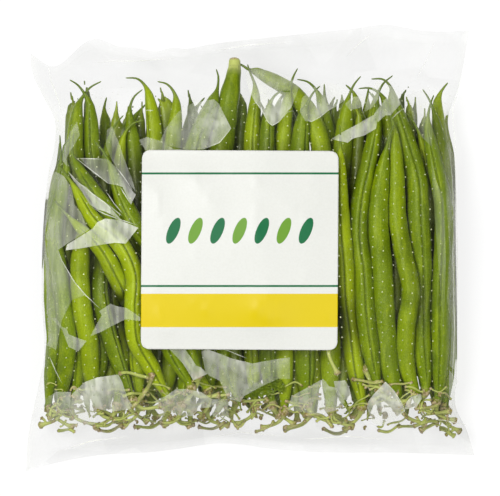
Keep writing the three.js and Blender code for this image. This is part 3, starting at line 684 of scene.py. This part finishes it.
def bean_tree():
    """All beans as one tree, for casting rays on them."""
    graph = bpy.context.evaluated_depsgraph_get()
    verts, faces = [], []
    for obj in beans:
        mesh = obj.evaluated_get(graph).to_mesh()
        base = len(verts)
        verts += [v.co[:] for v in mesh.vertices]
        faces += [[base + k for k in face.vertices] for face in mesh.polygons]
    return BVHTree.FromPolygons(verts, faces)


rng = random.Random(7)
FRONT_BEANS, BACK_BEANS, INNER_BUNCHES = 36, 16, 6
BACK_COARSE = 1.6  # the back beans' rings are this much further apart
beans = [make_bean(f"front_bean_{i}", rng) for i in range(1, FRONT_BEANS + 1)]
beans += [make_bean(f"back_bean_{i}", rng, BACK_COARSE) for i in range(1, BACK_BEANS + 1)]
beans += [make_inner_beans(f"inner_beans_{i}") for i in range(1, INNER_BUNCHES + 1)]
beans.append(add_loose_stalks())
beans.append(add_leaf_scraps())


# The bag's form, with the same values as its solid: outline, folds and seals
HALF_LENGTH = 80  # mm
SEAL = 0.945
FOLD_HEIGHT = 16.5
EDGE_HEIGHT = 5.5
EDGE_WAVE = 2.6
LEFT_SIDE = [
    (-1, -88), (-0.86, -87), (-0.66, -83), (-0.5, -80.5), (-0.24, -81.5), (0.09, -81),
    (0.36, -79), (0.51, -76.5), (0.65, -76.5), (0.75, -80.5), (0.9, -85.5), (1, -86),
]
RIGHT_SIDE = [
    (-1, 88), (-0.88, 85), (-0.76, 80.5), (-0.62, 81), (-0.3, 81), (0.08, 80.5),
    (0.45, 80), (0.63, 77.5), (0.78, 82), (1, 86),
]
TOP_END = [
    (-1, 77), (-0.89, 72), (-0.76, 81), (-0.7, 83), (-0.6, 80), (-0.52, 79.5),
    (-0.43, 78), (-0.36, 79.5), (-0.29, 79), (-0.16, 81), (0.16, 84), (0.48, 87),
    (0.62, 88.5), (0.8, 86), (1, 86),
]
BOTTOM_END = [
    (-1, -87), (-0.86, -83.5), (-0.67, -80.5), (-0.47, -79.5), (-0.32, -78), (-0.16, -76),
    (-0.03, -76.5), (0.08, -78), (0.32, -79.5), (0.64, -79.5), (1, -80.5),
]
GRID = 170  # cells of the film each way
# In mm, and its turn in radians
LABEL = {"x": -4, "y": 0, "width": 76.5, "height": 77.5, "corner": 3.4, "turn": -0.006}


def bag_plan(across, along):
    """Place in plan, in metres, of shares of the bag's width and length."""
    left, right = curve_through(LEFT_SIDE, along), curve_through(RIGHT_SIDE, along)
    end = np.where(
        along > 0,
        curve_through(TOP_END, across) - HALF_LENGTH,
        curve_through(BOTTOM_END, across) + HALF_LENGTH,
    )
    x = (left + right) / 2 + across * (right - left) / 2
    y = along * HALF_LENGTH + along**4 * end
    return x * MM, y * MM + SHIFT_Y


def bag_share(x, y):
    """Shares of the bag's width and length at a place in plan."""
    x, y = np.atleast_1d(x) / MM, (np.atleast_1d(y) - SHIFT_Y) / MM
    along, across = y / HALF_LENGTH, np.zeros_like(x)
    for _ in range(6):
        left, right = curve_through(LEFT_SIDE, along), curve_through(RIGHT_SIDE, along)
        across = np.clip((2 * x - left - right) / (right - left), -1, 1)
        _, made = bag_plan(across, along)
        along = np.clip(along + (y * MM + SHIFT_Y - made) / MM / HALF_LENGTH, -1, 1)
    return across, along


def fold_height(across, along):
    """Height of the bag's side folds and seals above the floor."""
    to_edge = smooth(np.abs(along), 0.5, 1)
    wave = EDGE_WAVE * np.sin(5.2 * across + np.where(along > 0, 1.1, 3.9)) * to_edge
    return (FOLD_HEIGHT * (1 - to_edge) + EDGE_HEIGHT * to_edge + wave) * MM


# What the film lies on, seen from above and from below
tree = bean_tree()
share = np.linspace(-1, 1, GRID + 1)
along_grid, across_grid = np.meshgrid(share, share, indexing="ij")
off_across, off_along = np.abs(across_grid), np.abs(along_grid)  # from 0 in the middle to 1
plan_x, plan_y = bag_plan(across_grid.ravel(), along_grid.ravel())
plan_x, plan_y = plan_x.reshape(along_grid.shape), plan_y.reshape(along_grid.shape)


def reach_of_beans(from_height, direction, missing):
    """Heights where rays down or up over the film's grid meet the beans."""
    heights = np.full(plan_x.shape, missing)
    for index in np.ndindex(plan_x.shape):
        start = Vector((plan_x[index], plan_y[index], from_height))
        hit = tree.ray_cast(start, Vector((0, 0, direction)))[0]
        if hit is not None:
            heights[index] = hit.z
    return heights


def neighbours(h):
    """The mean of the four neighbours of each point of a grid."""
    padded = np.pad(h, 1, mode="edge")
    return (padded[:-2, 1:-1] + padded[2:, 1:-1] + padded[1:-1, :-2] + padded[1:-1, 2:]) / 4


def on_film(values, x, y):
    """Values of the front film's grid at places in plan."""
    across, along = bag_share(x, y)
    u, v = (across + 1) / 2 * GRID, (along + 1) / 2 * GRID
    i, j = np.clip(v.astype(int), 0, GRID - 1), np.clip(u.astype(int), 0, GRID - 1)
    du, dv = u - j, v - i
    low = values[i, j] * (1 - du) + values[i, j + 1] * du
    high = values[i + 1, j] * (1 - du) + values[i + 1, j + 1] * du
    return low * (1 - dv) + high * dv


FILM_GAP = 0.3 * MM
FILM_LIFT = 2.4 * MM  # air holds the film up a little off the beans
edge_height = fold_height(across_grid, along_grid)
is_edge = (off_across == 1) | (off_along >= SEAL)
beans_top = reach_of_beans(ABOVE_ALL, -1, 0.0) + FILM_GAP
beans_base = reach_of_beans(BELOW_ALL, 1, 1.0) - FILM_GAP


def stretch_film(start, limit, keep, rounds):
    """A film stretched between the bag's edges, that a limit holds off the beans."""
    h = start.copy()
    for _ in range(rounds):
        h = np.where(is_edge, edge_height, keep(neighbours(h), limit))
    return h


DOME_HEIGHT = 24 * MM
STRETCH_ROUNDS = 700
ABOVE_FLOOR = 0.12 * MM
domed = np.clip((1 - off_across**3) * (1 - off_along**4), 0, 1)
dome = edge_height + DOME_HEIGHT * domed
flat = np.full(plan_x.shape, 1 * MM)
front = stretch_film(dome, np.where(is_edge, -1, beans_top), np.maximum, STRETCH_ROUNDS)
back = stretch_film(flat, np.where(is_edge, 1, beans_base), np.minimum, STRETCH_ROUNDS)
back = np.maximum(back, ABOVE_FLOOR)


def paint_shade_on_deep_beans(settled):
    """Paints shade into each bean's colour by how deep it lies below the film, where the packing shades
    it; less under the label and towards the ends.
    """
    for obj in beans:
        if "_bean_" not in obj.name:
            continue
        places = np.empty(len(obj.data.vertices) * 3)
        obj.data.vertices.foreach_get("co", places)
        x, y, z = places.reshape(-1, 3).T
        depth = on_film(settled, x, y) - z
        # Painted shade, from the bean's depth below the film, fading towards the bag's ends
        painted_shade = smooth(depth, 2 * MM, 7.5 * MM) * (1 - smooth(np.abs(y), 0.026, 0.044))
        from_label = np.maximum(np.abs(x / MM - LABEL["x"]), np.abs(y / MM - LABEL["y"]))
        painted_shade *= 0.3 + 0.7 * smooth(from_label, 30, 37)
        obj.data.attributes.new("painted_shade", "FLOAT", "POINT").data.foreach_set("value", painted_shade)


paint_shade_on_deep_beans(front)

def film_noise(across, along, level):
    """Noise over the film's plan, with its waves per metre each way."""
    places = zip(plan_x.ravel(), plan_y.ravel())
    made = [noise.noise(Vector((x * across, y * along, level))) for x, y in places]
    return np.reshape(made, plan_x.shape)


# Slack: soft buckles where the film is free of the beans, and ripples at its ends
BUCKLES = 1.5  # mm
RIPPLES = 1.2  # mm
lift = FILM_LIFT * (1 - off_across**4) * (1 - smooth(off_along, 0.3, 0.85))
front = np.where(is_edge, front, front + lift)
free = smooth(front - beans_top, 0.5 * MM, 4 * MM) * (1 - smooth(off_across, 0.93, 1))
buckle = film_noise(95, 60, 3) + 0.6 * np.abs(film_noise(210, 150, 8))
front = front + free * buckle * BUCKLES * MM
near_end = smooth(off_along, 0.8, 0.9)
ripple = film_noise(130, 45, 21)
front = front + near_end * ripple * RIPPLES * MM * (1 - (off_along >= 0.999))
back = np.minimum(back, front - 0.1 * MM)


def arc_lengths(heights):
    """Lengths over the film from its middle, across and along."""
    lengths = []
    for axis in (1, 0):
        steps = [np.diff(values, axis=axis) for values in (plan_x, plan_y, heights)]
        step = np.sqrt(sum(values**2 for values in steps))
        total = np.cumsum(step, axis=axis)
        total = np.concatenate([np.zeros_like(np.take(total, [0], axis)), total], axis=axis)
        lengths.append(total - np.take(total, [GRID // 2], axis))
    return {"film_across": lengths[0], "film_along": lengths[1]}


front_lengths = arc_lengths(front)


def film_height(x, y):
    """Height of the front film at places in plan."""
    return on_film(front, x, y)


# The film's whiteness, in part painted sheen: where it bends sharply, and along its sides and ends
bend = np.abs(neighbours(front) - front)
haze_and_sheen = np.clip(bend / (0.25 * MM), 0, 1) * 0.03
haze_and_sheen += 0.08 * smooth(off_across, 0.95, 1)
haze_and_sheen += 0.02 * smooth(off_along, 0.86, 0.93)
slack = smooth(off_along, 0.66, 0.84)


def film_sheet(name, heights, values, material, faces_down, *replaced):
    """One side of the bag's film, over the grid of its plan."""
    bm = bmesh.new()
    points = np.stack([plan_x, plan_y, heights], axis=2)
    grid_mesh(bm, points, {"haze_and_sheen": values, "slack": slack, **arc_lengths(heights)})
    if faces_down:
        bmesh.ops.reverse_faces(bm, faces=bm.faces)
    return new_object(name, bm, material, "film", *replaced)


film_sheet("film_front", front, haze_and_sheen, front_film_look, False, "film_bag")
film_sheet("film_back", back, haze_and_sheen * 0.5, back_film_look, True)


# Pleats: places where the film lies doubled on itself. Each is an outline in the
# photograph's pixels with how milky it is at each corner, in percent, so that a side
# can fade.
PLEATS = [
    [(65.7, 250.2, 40), (67.4, 244.4, 40), (93, 228.7, 42), (98, 222, 42), (105.5, 218.7, 42),
     (119.6, 220, 40), (138.7, 227.8, 36), (131.2, 237, 40), (126.2, 243.6, 40), (114.6, 242.8, 46),
     (98, 245.3, 46), (79.8, 248.6, 42)],
    [(67.4, 170.6, 23), (79, 183, 36), (86.4, 187.2, 42), (93, 193.8, 42), (106.3, 203, 40),
     (121.3, 219.6, 31), (106.3, 212, 40), (98, 209.6, 46), (89.8, 204.6, 46), (83, 193, 40),
     (73.2, 179.8, 31)],
    [(48.3, 176.4, 15), (55.8, 171.5, 21), (64, 176.4, 24), (71.5, 188, 23), (74.8, 204.6, 23),
     (81.5, 213, 22), (86.4, 225.4, 22), (89.8, 229.5, 20), (67.4, 243.6, 20), (58.2, 250, 25),
     (62, 260.5, 26), (74.4, 281.6, 17), (85.9, 295, 13), (72, 300, 10), (62, 320, 19),
     (56, 350, 20), (46, 345, 22), (44, 290, 26), (45, 220, 26)],
    [(79.8, 158, 14), (107.2, 159, 16), (118, 169, 19), (132.9, 191.4, 23), (136.2, 194.7, 25),
     (131.2, 204.6, 27), (122.9, 187.2, 23), (108, 182.2, 23), (93, 173, 19)],
    [(76.7, 121.2, 16), (79.8, 135.5, 20), (70, 152, 25), (66.5, 158, 27), (67.5, 167, 23),
     (62, 160, 23), (64, 148, 23), (70, 132, 16)],
    [(106, 146, 10), (107, 130, 16), (112, 126, 20), (118, 140, 19), (124, 158, 19),
     (132, 178, 16), (136, 192, 10), (120, 172, 19), (112, 160, 16)],
    [(146, 151, 25), (139, 140, 16), (147, 137, 20), (160, 141, 23), (174, 149, 28),
     (190, 150, 28), (160, 151, 27)],
    [(160, 142, 20), (166, 128, 16), (178, 112, 13), (192, 103, 19), (203, 101, 25),
     (214, 99, 28), (219, 104, 31), (224, 114, 33), (231.3, 128.4, 37), (219.6, 142.7, 37),
     (203.6, 149.4, 33), (188, 150, 23), (172, 147, 20)],
    [(255, 102, 31), (262, 111, 33), (268, 122, 33), (272.3, 125.7, 31), (278.6, 122, 33),
     (287.5, 111.4, 31), (291, 108, 27), (296, 96, 13), (300, 84, 10), (286, 76, 23), (270, 71, 28),
     (256, 68, 28), (246, 70, 23), (246, 80, 20), (250, 92, 27)],
    [(300, 112, 23), (305, 121, 31), (311.6, 122, 31), (320, 117, 31), (327, 111, 31), (337, 106, 31),
     (345, 100, 31), (350, 92, 27), (340, 85, 23), (325, 82, 16), (312, 88, 10), (302, 98, 13)],
    [(331.7, 138.8, 31), (335.3, 140.3, 46), (347.6, 142.9, 46), (352.7, 138.8, 46),
     (363.9, 135.7, 42), (376.1, 128.6, 42), (377.1, 121.4, 40), (373.1, 115.3, 36),
     (361.8, 121.4, 40), (359.8, 123, 42), (341.4, 132.7, 42)],
    [(373.1, 115.3, 31), (380, 106, 27), (386.3, 98, 27), (386.3, 83.7, 27), (393.5, 86.7, 31),
     (398.6, 95.9, 36), (400.6, 104.1, 36), (390.4, 115.3, 36), (385.3, 115.3, 31), (378, 122, 31)],
    [(377.1, 80.6, 23), (381.2, 83.7, 27), (378.2, 99, 27), (372, 108, 20), (364, 112, 13),
     (368, 95.9, 23)],
    [(362, 96, 25), (366, 103, 27), (360, 108, 23), (350, 110, 16), (345, 104, 23), (352, 97, 23)],
    [(407, 95, 16), (430, 86, 20), (433, 120, 16), (432, 147, 5), (420, 135, 13), (413, 118, 13)],
    [(99.3, 311.2, 25), (110.8, 303.6, 27), (118.5, 306.5, 27), (126.1, 307.4, 27),
     (133.8, 312.2, 27), (140.5, 317, 23), (140.5, 320.8, 23), (126.1, 318.9, 27), (116.6, 323.7, 27),
     (110.8, 326.6, 25), (102.2, 331.3, 23), (90.7, 336.1, 16), (96.5, 324.6, 20), (102.2, 315, 25)],
    [(50.5, 317.9, 16), (56.3, 317.9, 23), (62, 326.6, 27), (66.8, 328.5, 31), (68.7, 334.2, 31),
     (78.3, 338, 31), (86.9, 340.9, 27), (78.3, 351.4, 31), (68.7, 346.7, 27), (65.8, 339, 27),
     (62, 329.4, 23)],
    [(76.4, 389.7, 36), (85, 382, 40), (97.4, 377.3, 42), (118.5, 374.4, 42), (122.3, 382, 40),
     (128, 399, 31), (134.8, 408.7, 16), (110, 412, 31), (96.6, 408.7, 31), (94.6, 425, 23),
     (79.3, 426, 27), (69.8, 411.6, 27), (71.7, 394.4, 31)],
    [(44, 400, 10), (56, 392, 27), (71, 392, 31), (70, 410, 31), (79, 426, 23), (66, 430, 16),
     (48, 422, 10)],
    [(169.8, 349.1, 31), (185.1, 349.1, 31), (191.2, 357.2, 33), (196.3, 365.4, 33),
     (201.4, 367.4, 33), (207.6, 373.6, 33), (193.3, 380.2, 36), (190.2, 374.6, 31),
     (183.1, 363.4, 31)],
    [(201.4, 351.1, 23), (207.6, 349.1, 23), (221.8, 354.2, 31), (232, 358.3, 36), (252.4, 363.4, 31),
     (262.7, 361.3, 31), (281, 358.3, 25), (290, 357.2, 16), (290, 378.7, 10), (278, 378.7, 23),
     (262.7, 385.8, 31), (244.3, 396, 31), (240.2, 402.1, 31), (228, 399.1, 31), (219.8, 380.7, 33),
     (209.6, 375.6, 31), (205.5, 371.5, 27)],
    [(165.7, 396, 31), (175.9, 388.9, 36), (187.1, 388.9, 36), (201.4, 391.9, 36), (211.6, 399.1, 31),
     (211.6, 407.2, 27), (201.4, 408.3, 31), (191.2, 416.4, 27), (179, 415.4, 25), (166.7, 410.3, 25),
     (160.6, 424.6, 16), (157.6, 406.2, 23), (154.5, 401.1, 16)],
    [(211.6, 399.1, 31), (228, 399.1, 31), (229, 418.5, 23), (219.8, 419.5, 23), (212.7, 416.4, 25)],
    [(291.5, 396.3, 27), (306.8, 387.8, 33), (322.8, 378.7, 36), (325.9, 381.7, 36),
     (329, 386.3, 36), (336.6, 387.8, 31), (345, 402, 25), (338, 410, 20), (318, 415, 16),
     (300, 412, 16), (288, 410, 16)],
    [(333.6, 381, 31), (345, 380.2, 31), (348.9, 386.3, 31), (351.9, 398.6, 27), (344.3, 400.1, 27),
     (336.6, 394, 31)],
    [(385.5, 381.5, 40), (393, 390, 46), (399.9, 401.6, 42), (405.6, 411.1, 36), (397, 417.8, 40),
     (383.6, 426.5, 40), (373.1, 423.6, 40), (370.2, 415.9, 40), (367.3, 408.3, 36), (368.3, 401.6, 40),
     (374, 393.9, 46)],
    [(411.3, 396.8, 31), (420.9, 393.9, 31), (421.9, 398.7, 31), (416.1, 408.3, 27),
     (404.6, 409.2, 27), (406.6, 401.6, 31)],
    [(449.6, 370, 23), (459.2, 382.4, 31), (454.4, 387.2, 31), (459.2, 423.6, 23), (449.6, 423.6, 16)],
    [(444, 150, 3), (449, 140, 10), (456, 160, 27), (457, 200, 31), (457.5, 300, 31), (457, 372, 27),
     (450, 366, 16), (452, 330, 16), (447, 300, 6), (450, 250, 16), (446, 200, 5)],
    [(430, 150, 3), (436, 180, 12), (444, 200, 14), (446, 260, 12), (444, 330, 5), (438, 260, 9)],
]
# Painted highlights: thin white lines along the film's sharp folds and a few glints, as lines of points
CREASE_HIGHLIGHTS = [
    [(73.2, 155.7), (90, 169), (108, 183), (119.6, 185.6)],
    [(114.6, 164.8), (124, 177), (133.7, 191.4)],
    [(106.3, 191.4), (114, 203), (122.9, 213.7)],
    [(120.4, 187.2), (126, 196), (131.2, 204.6)],
    [(89.8, 206.3), (105, 214), (121.3, 220), (138.7, 225.4)],
    [(108.8, 204.6), (116, 211), (122.9, 216.2)],
    [(67.4, 170.6), (79, 183), (93, 194), (108, 205), (121, 219)],
    [(78.8, 158.6), (92, 158.8), (104.3, 159.2)],
    [(250, 106), (256.3, 102.5), (262.5, 111.4), (267.9, 122.1), (272.3, 125.7), (278.6, 122.1),
     (287.5, 112.3), (293.8, 110.5)],
    [(305.4, 118.6), (311.6, 121.7), (320.5, 116.8), (326.8, 111.4), (336.6, 105.6)],
    [(231.3, 128.4), (219.6, 142.7), (203.6, 149.4)],
    [(391.4, 119.4), (397, 113.5), (403.7, 108.2)],
    [(48.6, 355), (55, 370), (62, 384)],
    [(58.2, 250), (62, 260.5), (74.4, 281.6), (85.9, 295), (101.2, 309.3)],
    [(223.9, 350.1), (228, 350.3), (238, 354.5), (247.3, 358.3)],
    [(449, 130), (453, 180), (453, 250), (455, 330), (452, 400)],
    [(456, 150), (458, 250), (458.5, 340)],
    [(143, 111), (148, 110), (154, 110.5)],
    [(385.5, 381.5), (394, 391), (401, 402), (405.6, 411)],
    [(470, 52), (463, 75.5), (453, 110), (455.7, 142), (456.7, 198)],
    [(46, 60), (50, 80), (58, 100), (62, 118)],
    [(421.9, 413), (436.2, 419.8), (449.6, 421.7), (470.7, 426.5)],
    [(92, 62), (112, 60), (136, 60), (175, 57)],
    [(372, 32), (358, 44), (346, 57)],
    [(436, 40), (428, 58), (417, 78)],
    [(212, 50), (248, 44), (290, 41)],
    [(60, 452), (90, 442), (128, 437)],
    [(214, 438), (240, 433), (280, 437)],
    [(300, 441), (350, 437), (392, 441)],
]


def turn_upwards(bm):
    """Turns the faces of a thin sheet on the front so that all of them point up."""
    bm.normal_update()
    bmesh.ops.reverse_faces(bm, faces=[face for face in bm.faces if face.normal.z < 0])


def densify(points, step):
    """Points along a closed or open line, a step apart, with all their values."""
    points = np.array(points, float)
    out = []
    for a, b in zip(points[:-1], points[1:]):
        count = max(1, int(np.hypot(*(b - a)[:2]) / step))
        out += [a + (b - a) * k / count for k in range(count)]
    return np.array(out + [points[-1]])


def fill_outline(points):
    """A flat face of the outline, cut into small triangles."""
    bm = bmesh.new()
    verts = [bm.verts.new((*from_photo(x, y), 0)) for x, y in points]
    bm.faces.new(verts)
    bmesh.ops.triangulate(bm, faces=bm.faces)
    for _ in range(6):
        long = [e for e in bm.edges if e.calc_length() > 1.8 * MM]
        if not long:
            break
        bmesh.ops.subdivide_edges(bm, edges=long, cuts=1)
        bmesh.ops.triangulate(bm, faces=bm.faces)
    turn_upwards(bm)
    return bm


def make_pleat(index, outline):
    """A milky sheet of doubled film just above the front film."""
    rim = densify(outline + outline[:1], 3)[:-1]
    rim_x, rim_y = from_photo(rim[:, 0], rim[:, 1])
    bm = fill_outline(rim[:, :2])
    bm.verts.index_update()
    flat = np.array([v.co[:] for v in bm.verts])
    heights = film_height(flat[:, 0], flat[:, 1])
    layers = value_layers(bm, ("haze_and_sheen", "slack", *front_lengths))
    for key, lengths in front_lengths.items():
        for vert, length in zip(bm.verts, on_film(lengths, flat[:, 0], flat[:, 1])):
            vert[layers[key]] = length
    for vert, height in zip(bm.verts, heights):
        near = 1 / ((rim_x - vert.co.x) ** 2 + (rim_y - vert.co.y) ** 2 + (0.4 * MM) ** 2)
        haze_and_sheen = (near * rim[:, 2] / 100).sum() / near.sum()
        vert[layers["haze_and_sheen"]] = haze_and_sheen * (1 + 0.5 * noise.noise(vert.co * 90 + Vector((0, 0, index))))
        rise = 0.5 + 0.5 * noise.noise(vert.co * 140 + Vector((0, 0, index)))
        vert.co.z = height + (0.12 + 0.6 * rise) * MM
    return new_object(f"film_pleat_{index}", bm, pleat_look, "film")


def make_crease_highlights():
    """Painted highlights: thin bright ribbons along the film's sharp folds."""
    bm = bmesh.new()
    for line in CREASE_HIGHLIGHTS:
        path = densify(line, 2)
        x, y = from_photo(path[:, 0], path[:, 1])
        z = film_height(x, y) + 0.75 * MM
        ahead = np.stack([np.gradient(x), np.gradient(y)], axis=1)
        ahead /= np.linalg.norm(ahead, axis=1)[:, None]
        along = np.linspace(0, 1, len(x))
        width = 0.26 * MM * np.sqrt(np.sin(along * math.pi) + 0.05)
        points, haze_and_sheen = [], []
        # Painted highlight along the middle of each ribbon, fading to its ends
        for side, strength in ((-1, 0), (0, 0.65), (1, 0)):
            shift = side * width
            points.append(np.stack([x - ahead[:, 1] * shift, y + ahead[:, 0] * shift, z], axis=1))
            haze_and_sheen.append(strength * np.sin(along * math.pi) ** 0.5)
        grid_mesh(bm, np.stack(points, axis=1), {"haze_and_sheen": np.stack(haze_and_sheen, axis=1)})
    turn_upwards(bm)
    new_object("film_crease_highlights", bm, pleat_look, "film")


for index, outline in enumerate(PLEATS, 1):
    make_pleat(index, outline)
make_crease_highlights()


# Label
OVALS = 7  # in the row of its print
OVAL_PITCH = 8.6


def make_label_material():
    n = Nodes("label_paper")
    place = n.add("SeparateXYZ", {0: n.coords}).outputs
    x = n.minus(place[0], LABEL["x"] * MM)
    y = n.minus(place[1], LABEL["y"] * MM + SHIFT_Y)

    def band(low, high):
        """1 between two heights on the label, in mm."""
        edge = 0.12 * MM
        above = n.ramp(y, low * MM - edge, low * MM + edge)
        below = n.ramp(y, high * MM + edge, high * MM - edge)
        return n.times(above, below)

    def oval(cx, cy, wide, tall, turn):
        """1 within a leaning oval, with its middle and half its sizes in mm."""
        left, up = n.minus(x, cx * MM), n.minus(y, cy * MM)
        cos, sin = math.cos(turn), math.sin(turn)
        dx = n.minus(n.times(left, cos), n.times(up, sin))
        dy = n.plus(n.times(left, sin), n.times(up, cos))
        dx, dy = n.math("DIVIDE", dx, wide * MM), n.math("DIVIDE", dy, tall * MM)
        away = n.plus(n.times(dx, dx), n.times(dy, dy))
        return n.ramp(away, 1.04, 0.96)

    fibre = n.noise(1200, 4)
    paper = n.mix(n.ramp(fibre, 0.3, 0.7, 0, 0.5), PAPER, PAPER_SHADE)
    paper = n.mix(band(-30, -17), paper, BAND_YELLOW)
    paper = n.mix(band(-14.4, -13.6), paper, PRINT_GREEN)
    paper = n.mix(band(29.4, 30.2), paper, PRINT_GREEN)
    for i in range(OVALS):
        seed = oval(OVAL_PITCH * (i - OVALS // 2), 7.5, 2.1, 5.4, 0.4)
        paper = n.mix(seed, paper, PRINT_LEAF if i % 2 else PRINT_GREEN)
    shader = n.add("BsdfPrincipled", {
        "Base Color": paper,
        "Roughness": 0.42,
        "Specular IOR Level": 0.25,
        "Normal": n.bump(fibre, 0.08, 0.0001),
    })
    return n.finish(shader.outputs[0])


def make_label():
    """The sticker: a sheet on the film, with round corners, stiffer than the film."""
    cells = 64
    width, height, corner = LABEL["width"] * MM, LABEL["height"] * MM, LABEL["corner"] * MM
    steps = np.linspace(-0.5, 0.5, cells + 1)
    steps = np.sign(steps) * 0.5 * (1 - (1 - 2 * np.abs(steps)) ** 1.25)
    v, u = np.meshgrid(steps * height, steps * width, indexing="ij")
    over_x = np.abs(u) - (width / 2 - corner)
    over_y = np.abs(v) - (height / 2 - corner)
    away = np.hypot(over_x, over_y)
    cut = (over_x > 0) & (over_y > 0) & (away > corner)
    pull = np.where(cut, corner / np.maximum(away, 1e-9), 1)
    u = np.where(cut, np.sign(u) * (width / 2 - corner + over_x * pull), u)
    v = np.where(cut, np.sign(v) * (height / 2 - corner + over_y * pull), v)
    cos, sin = math.cos(LABEL["turn"]), math.sin(LABEL["turn"])
    x = LABEL["x"] * MM + u * cos - v * sin
    y = LABEL["y"] * MM + SHIFT_Y + u * sin + v * cos
    z = film_height(x.ravel(), y.ravel()).reshape(x.shape)
    limit = z
    for _ in range(60):
        z = np.maximum(neighbours(z), limit)
    for _ in range(8):
        z = neighbours(z)
    z = np.maximum(z, limit) + 0.12 * MM
    bm = bmesh.new()
    grid_mesh(bm, np.stack([x, y, z], axis=2))
    obj = new_object("label_sheet", bm, make_label_material(), "label", "label")
    thick = obj.modifiers.new("thickness", "SOLIDIFY")
    thick.thickness = 0.14 * MM
    thick.offset = 1
    return obj


make_label()


# Floor, light and camera
def make_floor():
    n = Nodes("floor_paint")
    shader = n.add("BsdfPrincipled", {
        "Base Color": (0.22, 0.22, 0.22, 1),
        "Roughness": 0.7,
        "Emission Color": (1, 1, 1, 1),
        "Emission Strength": 0.78,
    })
    bm = bmesh.new()
    bmesh.ops.create_grid(bm, x_segments=1, y_segments=1, size=8)
    add_object("floor", finished_mesh("floor", bm, n.finish(shader.outputs[0])))


def add_light(name, place, size, power):
    """A square soft light that faces the bag."""
    light = bpy.data.lights.new(name, "AREA")
    light.shape = "RECTANGLE"
    light.size = light.size_y = size
    light.energy = power
    obj = add_object(name, light)
    obj.location = place
    obj.rotation_euler = (-Vector(place)).to_track_quat("-Z", "Y").to_euler()


make_floor()
add_light("key", (-0.45, 0.25, 1.2), 0.65, 14)
add_light("fill", (0.5, -0.35, 1.15), 0.8, 6.5)
world = bpy.data.worlds.new("studio")
world.use_nodes = True
world.node_tree.nodes["Background"].inputs[0].default_value = (1, 1, 1, 1)
world.node_tree.nodes["Background"].inputs[1].default_value = 0.12
bpy.context.scene.world = world
bpy.context.scene.view_settings.view_transform = "Standard"

CAMERA_HEIGHT = 4.0
FOCUS_HEIGHT = 0.03  # the plan's scale is that of the photograph at this height
camera = bpy.data.cameras.new("camera")
camera.sensor_width = 36
camera.lens = camera.sensor_width * (CAMERA_HEIGHT - FOCUS_HEIGHT) / (PHOTO_WIDTH * PIXEL)
camera_object = add_object("camera", camera)
camera_object.location = (0, 0.08 * MM, CAMERA_HEIGHT)
bpy.context.scene.camera = camera_object
